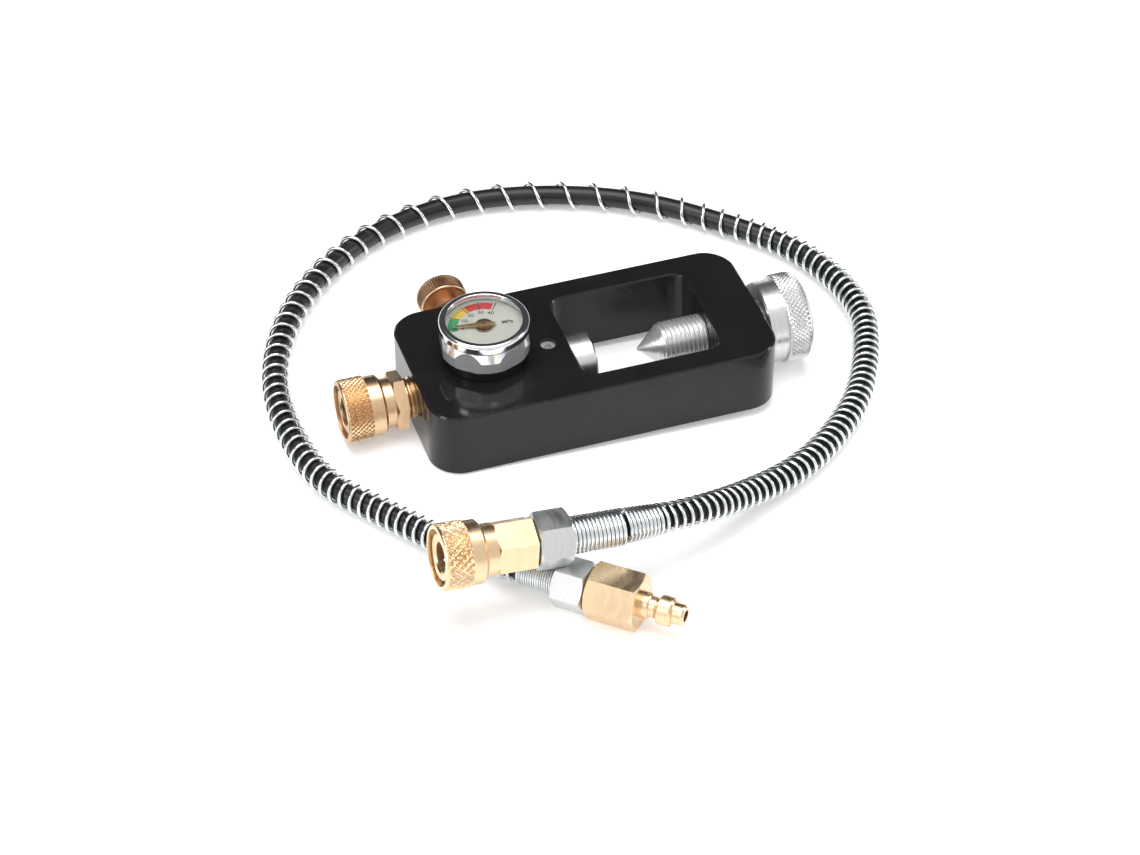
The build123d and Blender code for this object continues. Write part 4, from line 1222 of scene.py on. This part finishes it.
# ---------------------------------------------------------------- bleed screw
@dataclass
class BleedScrew:
    """Small screw with a finely grooved knob, sizes in millimetres from the block's rear face."""

    bench: Bench
    x: float = -33.0
    rear: float = 27.0
    axis_z: float = 11.0
    hub_start: float = 9.0
    hub_radius: float = 4.5
    knob_start: float = 12.6
    knob_end: float = 19.3
    knob_radius: float = 7.9
    stem_radius: float = 3.05
    grooves: int = 56

    def __post_init__(self) -> None:
        """Work out the screw's seat."""
        origin = self.bench.point(self.x, self.rear, self.axis_z)
        self.seat = Seat(origin, self.bench.y, self.bench.z)

    def build(self) -> None:
        """Cut the knob and dress the rest."""
        outline = np.concatenate([
            plain((self.hub_start, self.stem_radius), (self.hub_start, self.hub_radius - 0.3)),
            plain((self.hub_start + 0.3, self.hub_radius), (self.knob_start, self.hub_radius)),
            plain((self.knob_start, self.knob_radius - 1.1)),
            corner_arc(self.knob_start + 0.8, self.knob_radius - 0.8, 0.8, 170, 110),
            stretch(self.knob_start + 0.9, self.knob_end - 0.9, self.knob_radius, 0.4),
            corner_arc(self.knob_end - 0.8, self.knob_radius - 0.8, 0.8, 70, 5),
            plain((self.knob_end, self.knob_radius - 1.2), (self.knob_end - 0.4, self.knob_radius - 1.7)),
            plain((self.knob_end - 0.4, 1.6), (self.knob_end - 0.1, 1.2), (self.knob_end - 0.1, 0.0)),
            plain((self.knob_end - 2.0, 0.0), (self.knob_end - 2.0, self.stem_radius)),
        ])
        knurl = Knurl(
            KnurlStyle.STRAIGHT, self.grooves, 0.32, self.knob_start + 0.5, self.knob_end - 0.5, fade=0.8
        )
        knob = turned(
            "bleed_knob_grooved", self.seat, outline, around=self.grooves * 6, relief=knurl, ring=True,
            sharp=30,
        )
        copper = COPPER_BRASS.build(self.seat, "bleed")
        settle(knob, copper, "bleed_handle", COPPER_BRASS.slot, "bleed_knob")
        dress_nodes(copper, "bleed_bonnet")
        dress_nodes(SPRING_STEEL.build(self.seat, "bleed"), "bleed_stem")
        dress_nodes(DARK_STEEL.build(self.seat, "bleed grub"), "bleed_grub_screw")
        dress_nodes(SEAL_RUBBER.build(), "bleed_stem_ring")
        dress_nodes(FIBRE.build(), "bonnet_washer")


# ---------------------------------------------------------------- quick couplers
@dataclass
class QuickCoupler:
    """Female quick coupler with a knurled sliding sleeve, sizes in millimetres from its mouth."""

    tag: str
    body: str
    sleeve_body: str
    seat: Seat
    metal: TurnedMetal
    spring_end: float
    front_radius: float = 9.6
    knurl_radius: float = 9.85
    band_radius: float = 9.4
    length: float = 12.7
    knurl_start: float = 0.7
    knurl_end: float = 8.0
    counterbore: float = 8.3
    counterbore_depth: float = 2.44
    land: float = 7.05
    step: float = 5.8
    rear_bore: float = 7.75
    knurls: int = 36
    knurl_lead: float = 1.75
    sleeve_spring: Winding = Winding(5.9, 10.1, 7.38, 0.22, 1.05)
    valve_spring_start: float = 17.65
    sleeve_travel: float = 2.9
    valve_travel: float = 2.1

    def wind_spring(self, part: str, size: Winding) -> bpy.types.Object:
        """Wind a spring on the coupler's axis and tie it to the coupler's body.

        Args:
            part: what the spring is named after, sleeve or poppet.
            size: the spring.

        Returns:
            The spring.
        """
        spring = straight_coil(f"{self.tag}_{part}_spring_wound", self.seat, size)
        steel = SPRING_STEEL.build(self.seat, f"{self.tag} coupler")
        settle(spring, steel, self.body, SPRING_STEEL.slot, f"{self.tag}_{part}_spring")
        anchor = self.seat.moved(size.end).origin
        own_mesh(spring)
        return spring

    def build(self) -> list[bpy.types.Object]:
        """Cut the sleeve, wind the springs and dress the rest.

        Returns:
            The pieces that make up the coupler.
        """
        metal = self.metal.build(self.seat, f"{self.tag} coupler")
        steel = SPRING_STEEL.build(self.seat, f"{self.tag} coupler")
        sleeve = self.cut_sleeve()
        settle(sleeve, metal, self.sleeve_body, self.metal.slot, f"{self.tag}_coupler_sleeve")
        valve_size = Winding(self.valve_spring_start, self.spring_end, 2.3, 0.3, 1.3)
        springs = [
            self.wind_spring("sleeve", self.sleeve_spring),
            self.wind_spring("poppet", valve_size),
        ]
        dress_nodes(metal, f"{self.tag}_coupler_body", f"{self.tag}_spring_seat")
        dress_nodes(steel, f"{self.tag}_snap_ring", f"{self.tag}_locking_balls")
        dress_nodes(SEAL_RUBBER.build(), f"{self.tag}_bore_ring")
        dress_nodes(VALVE_PLASTIC.build(), f"{self.tag}_poppet")
        kept = ("coupler_body", "spring_seat", "snap_ring", "locking_balls", "bore_ring", "poppet")
        nodes = [frame["nodes"][f"{self.tag}_{name}"] for name in kept]
        return [sleeve, *springs, *nodes]

    def cut_sleeve(self) -> bpy.types.Object:
        """Sleeve with a diamond knurl, a plain band behind it and its stepped bore."""
        depth = self.counterbore_depth
        outline = np.concatenate([
            plain((0.0, self.counterbore), (0.0, self.front_radius - 0.3), (0.3, self.front_radius)),
            plain((self.knurl_start - 0.15, self.front_radius)),
            stretch(self.knurl_start, self.knurl_end, self.knurl_radius, 0.14),
            plain((self.knurl_end + 0.1, self.band_radius), (self.length - 0.8, self.band_radius)),
            plain((self.length, self.band_radius - 0.8), (self.length, self.rear_bore)),
            plain((self.step, self.rear_bore), (self.step, self.land), (depth + 0.5, self.land)),
            plain((depth, self.land + 0.5), (depth, self.counterbore)),
        ])
        knurl = Knurl(
            KnurlStyle.PITTED, self.knurls, 0.75, self.knurl_start - 0.1, self.knurl_end + 0.05,
            lead=self.knurl_lead,
        )
        return turned(
            f"{self.tag}_sleeve_knurled", self.seat, outline, around=self.knurls * 10, relief=knurl,
            ring=True, sharp=28,
        )


# ---------------------------------------------------------------- hose
@dataclass
class Hose:
    """High-pressure hose with its spring guard and end springs, sizes in millimetres.

    The route repeats the one that the solid hose follows.
    """

    coupler: Seat
    plug: Seat
    radius: float = 3.2
    start: float = 39.55
    first_run: float = 33.4
    last_run: float = 29.0
    low: float = 4.65
    guard_wire: float = 0.6
    guard_mean: float = 4.03
    guard_flare: tuple[float, float] = (4.9, 4.5)
    flare_places: tuple[float, ...] = (0, 0.008, 0.016)
    guard_start: float = 17.9
    guard_end: float = 12.3
    coupler_spring: Winding = Winding(0.1, 17.7, 5.06, 0.6, 1.26)
    plug_spring: Winding = Winding(0.0, 11.95, 4.43, 0.34, 0.74)
    plug_spring_back: float = 12.0
    route: tuple[tuple[float, ...], ...] = (
        (33.0, -78.3, 7.8), (57.0, -67.0), (80.5, -46.5), (93.5, -24.0), (102.0, 0.0), (95.0, 30.5),
        (77.0, 52.0), (51.0, 75.0), (20.0, 87.5), (-10.5, 91.0), (-42.0, 81.5), (-68.0, 60.5),
        (-85.0, 34.0), (-92.5, 5.0), (-89.0, -31.0), (-73.5, -51.0),
    )
    pitch_places: tuple[float, ...] = (
        0.0, 0.018, 0.026, 0.06, 0.30, 0.38, 0.43, 0.46, 0.58, 0.64, 0.70, 0.76, 0.84, 0.92, 1.0,
    )
    pitches: tuple[float, ...] = (
        1.28, 1.28, 2.9, 3.2, 3.3, 4.2, 8.5, 10.6, 10.6, 7.8, 6.0, 5.0, 4.0, 3.4, 3.0,
    )

    def route_points(self) -> list[Vector]:
        """Control points of the hose's line, in metres, from the coupler's nut to the plug's."""
        begin = self.coupler.origin + self.coupler.axis * self.start * MM
        end = self.plug.origin
        middle = [Vector((*point[:2], point[2] if len(point) > 2 else self.low)) * MM for point in self.route]
        after = begin + self.coupler.axis * self.first_run * MM
        before = end - self.plug.axis * self.last_run * MM
        return [begin, after, *middle, before, end]

    def curve(self, name: str) -> bpy.types.Object:
        """New smooth curve along the route, with no thickness yet."""
        data = bpy.data.curves.new(name, "CURVE")
        data.dimensions = "3D"
        data.resolution_u = 24
        spline = data.splines.new("NURBS")
        points = self.route_points()
        spline.points.add(len(points) - 1)
        for knot, point in zip(spline.points, points):
            knot.co = (*point, 1.0)
        spline.order_u = 3
        spline.use_endpoint_u = True
        return link_piece(name, data)

    def line(self) -> np.ndarray:
        """Points read from the route's smooth line, evenly spaced, in metres."""
        carrier = self.curve("hose_line")
        mesh = evaluated_mesh(carrier)
        points = np.array([vertex.co for vertex in mesh.vertices])
        bpy.data.objects.remove(carrier)
        bpy.data.meshes.remove(mesh)
        steps = np.linalg.norm(np.diff(points, axis=0), axis=1)
        places = np.concatenate([[0], np.cumsum(steps)])
        even = np.linspace(0, places[-1], 4000)
        return points_at(even, places, points)

    def build(self, with_pieces: list[bpy.types.Object]) -> None:
        """Make the hose and wind its springs.

        Args:
            with_pieces: what is fixed to the hose's two ends; not used.
        """
        line = self.line()
        length = float(np.linalg.norm(np.diff(line, axis=0), axis=1).sum())
        hose = self.curve("pressure_hose")
        hose.data.bevel_depth = self.radius * MM
        hose.data.bevel_resolution = 7
        hose.data.use_fill_caps = True
        settle(hose, RUBBER.build(), "hose_assembly", RUBBER.slot, "hose")
        log.info("hose length %.1f mm", length / MM)
        springs = [self.wind_guard(line, length), *self.wind_ends()]

    def wind_guard(self, line: np.ndarray, length: float) -> bpy.types.Object:
        """Wind the open guard, closer near the ends than on the far side."""
        places = np.linspace(0, length, len(line))
        first = self.guard_start * MM
        last = length - self.guard_end * MM
        even = np.linspace(first, last, 5200)
        centre = points_at(even, places, line)
        share = (even - first) / (last - first)
        pitch = np.interp(share, self.pitch_places, self.pitches) * MM
        turns = turns_wound(even, pitch)
        flare = (*self.guard_flare, self.guard_mean)
        radius = np.interp(even - first, self.flare_places, flare) * MM
        guard = coil("spring_guard_wire", centre, self.coupler.up, turns, radius, self.guard_wire * MM)
        wire = WIRE.build(self.coupler, "guard")
        return settle(guard, wire, "hose_assembly", WIRE.slot, "spring_guard")

    def wind_ends(self) -> list[bpy.types.Object]:
        """Wind the two close end springs, which sit round the ferrules."""
        begin = self.coupler.moved(self.start)
        first = straight_coil("coupler_end_spring_wire", begin, self.coupler_spring)
        wire = WIRE.build(self.coupler, "coupler end")
        settle(first, wire, "hose_assembly", WIRE.slot, "coupler_end_spring")
        back = self.plug.moved(-self.plug_spring_back)
        second = straight_coil("plug_end_spring_wire", back, self.plug_spring)
        wire = WIRE.build(self.plug, "plug end")
        settle(second, wire, "hose_assembly", WIRE.slot, "plug_end_spring")
        return [first, second]


@dataclass
class HoseFittings:
    """The nuts, washers and plug at the hose's two ends."""

    coupler: Seat
    plug: Seat

    def build(self) -> list[bpy.types.Object]:
        """Dress the fittings.

        Returns:
            The nodes, which go with the hose.
        """
        looks = {
            "coupler_nut": ZINC.build(self.coupler, "coupler nut"),
            "coupler_washer": FIBRE.build(),
            "coupler_hose_tail": SPRING_STEEL.build(self.coupler, "hose tail"),
            "coupler_ferrule": ZINC.build(self.coupler, "coupler ferrule"),
            "plug_nut": ZINC.build(self.plug, "plug nut"),
            "plug_washer": FIBRE.build(),
            "plug_hose_tail": SPRING_STEEL.build(self.plug, "hose tail"),
            "plug_ferrule": ZINC.build(self.plug, "plug ferrule"),
            "plug_adapter": DRAWN_BRASS.build(self.plug, "plug"),
            "plug_nipple": BRASS.build(self.plug, "plug"),
        }
        for name, material in looks.items():
            dress_nodes(material, name)
        return [frame["nodes"][name] for name in looks]


def main() -> None:
    """Build everything in order."""
    logging.basicConfig(level=logging.INFO, format="%(message)s")
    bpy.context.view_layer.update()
    bench = Bench.from_joints(knob_x=KNOB_JOINT, clamp_z=CLAMP_HEIGHT)
    clamp = Seat(bench.point(0, 0, CLAMP_HEIGHT), bench.x, bench.z)
    block_mouth = seat_at_mount("block_port", PORT_DEPTH, reverse=True)
    hose_mouth = seat_at_mount("hose_port", PORT_DEPTH, reverse=True)
    plug = seat_at_mount("plug", PLUG_REACH, reverse=False)
    Studio(bench).build()
    Block(bench, clamp).build()
    ClampScrew(clamp).build()
    PressureGauge(bench).build()
    BleedScrew(bench).build()
    QuickCoupler("block", "yoke", "block_sleeve", block_mouth, RED_BRASS, spring_end=27.75).build()
    coupler_pieces = QuickCoupler(
        "hose", "hose_assembly", "hose_sleeve", hose_mouth, BRASS, spring_end=33.75, knurls=28,
        knurl_lead=2.7,
    ).build()
    fittings = HoseFittings(hose_mouth, plug).build()
    Hose(hose_mouth, plug).build(fittings + coupler_pieces)


if __name__ == "__main__":
    main()
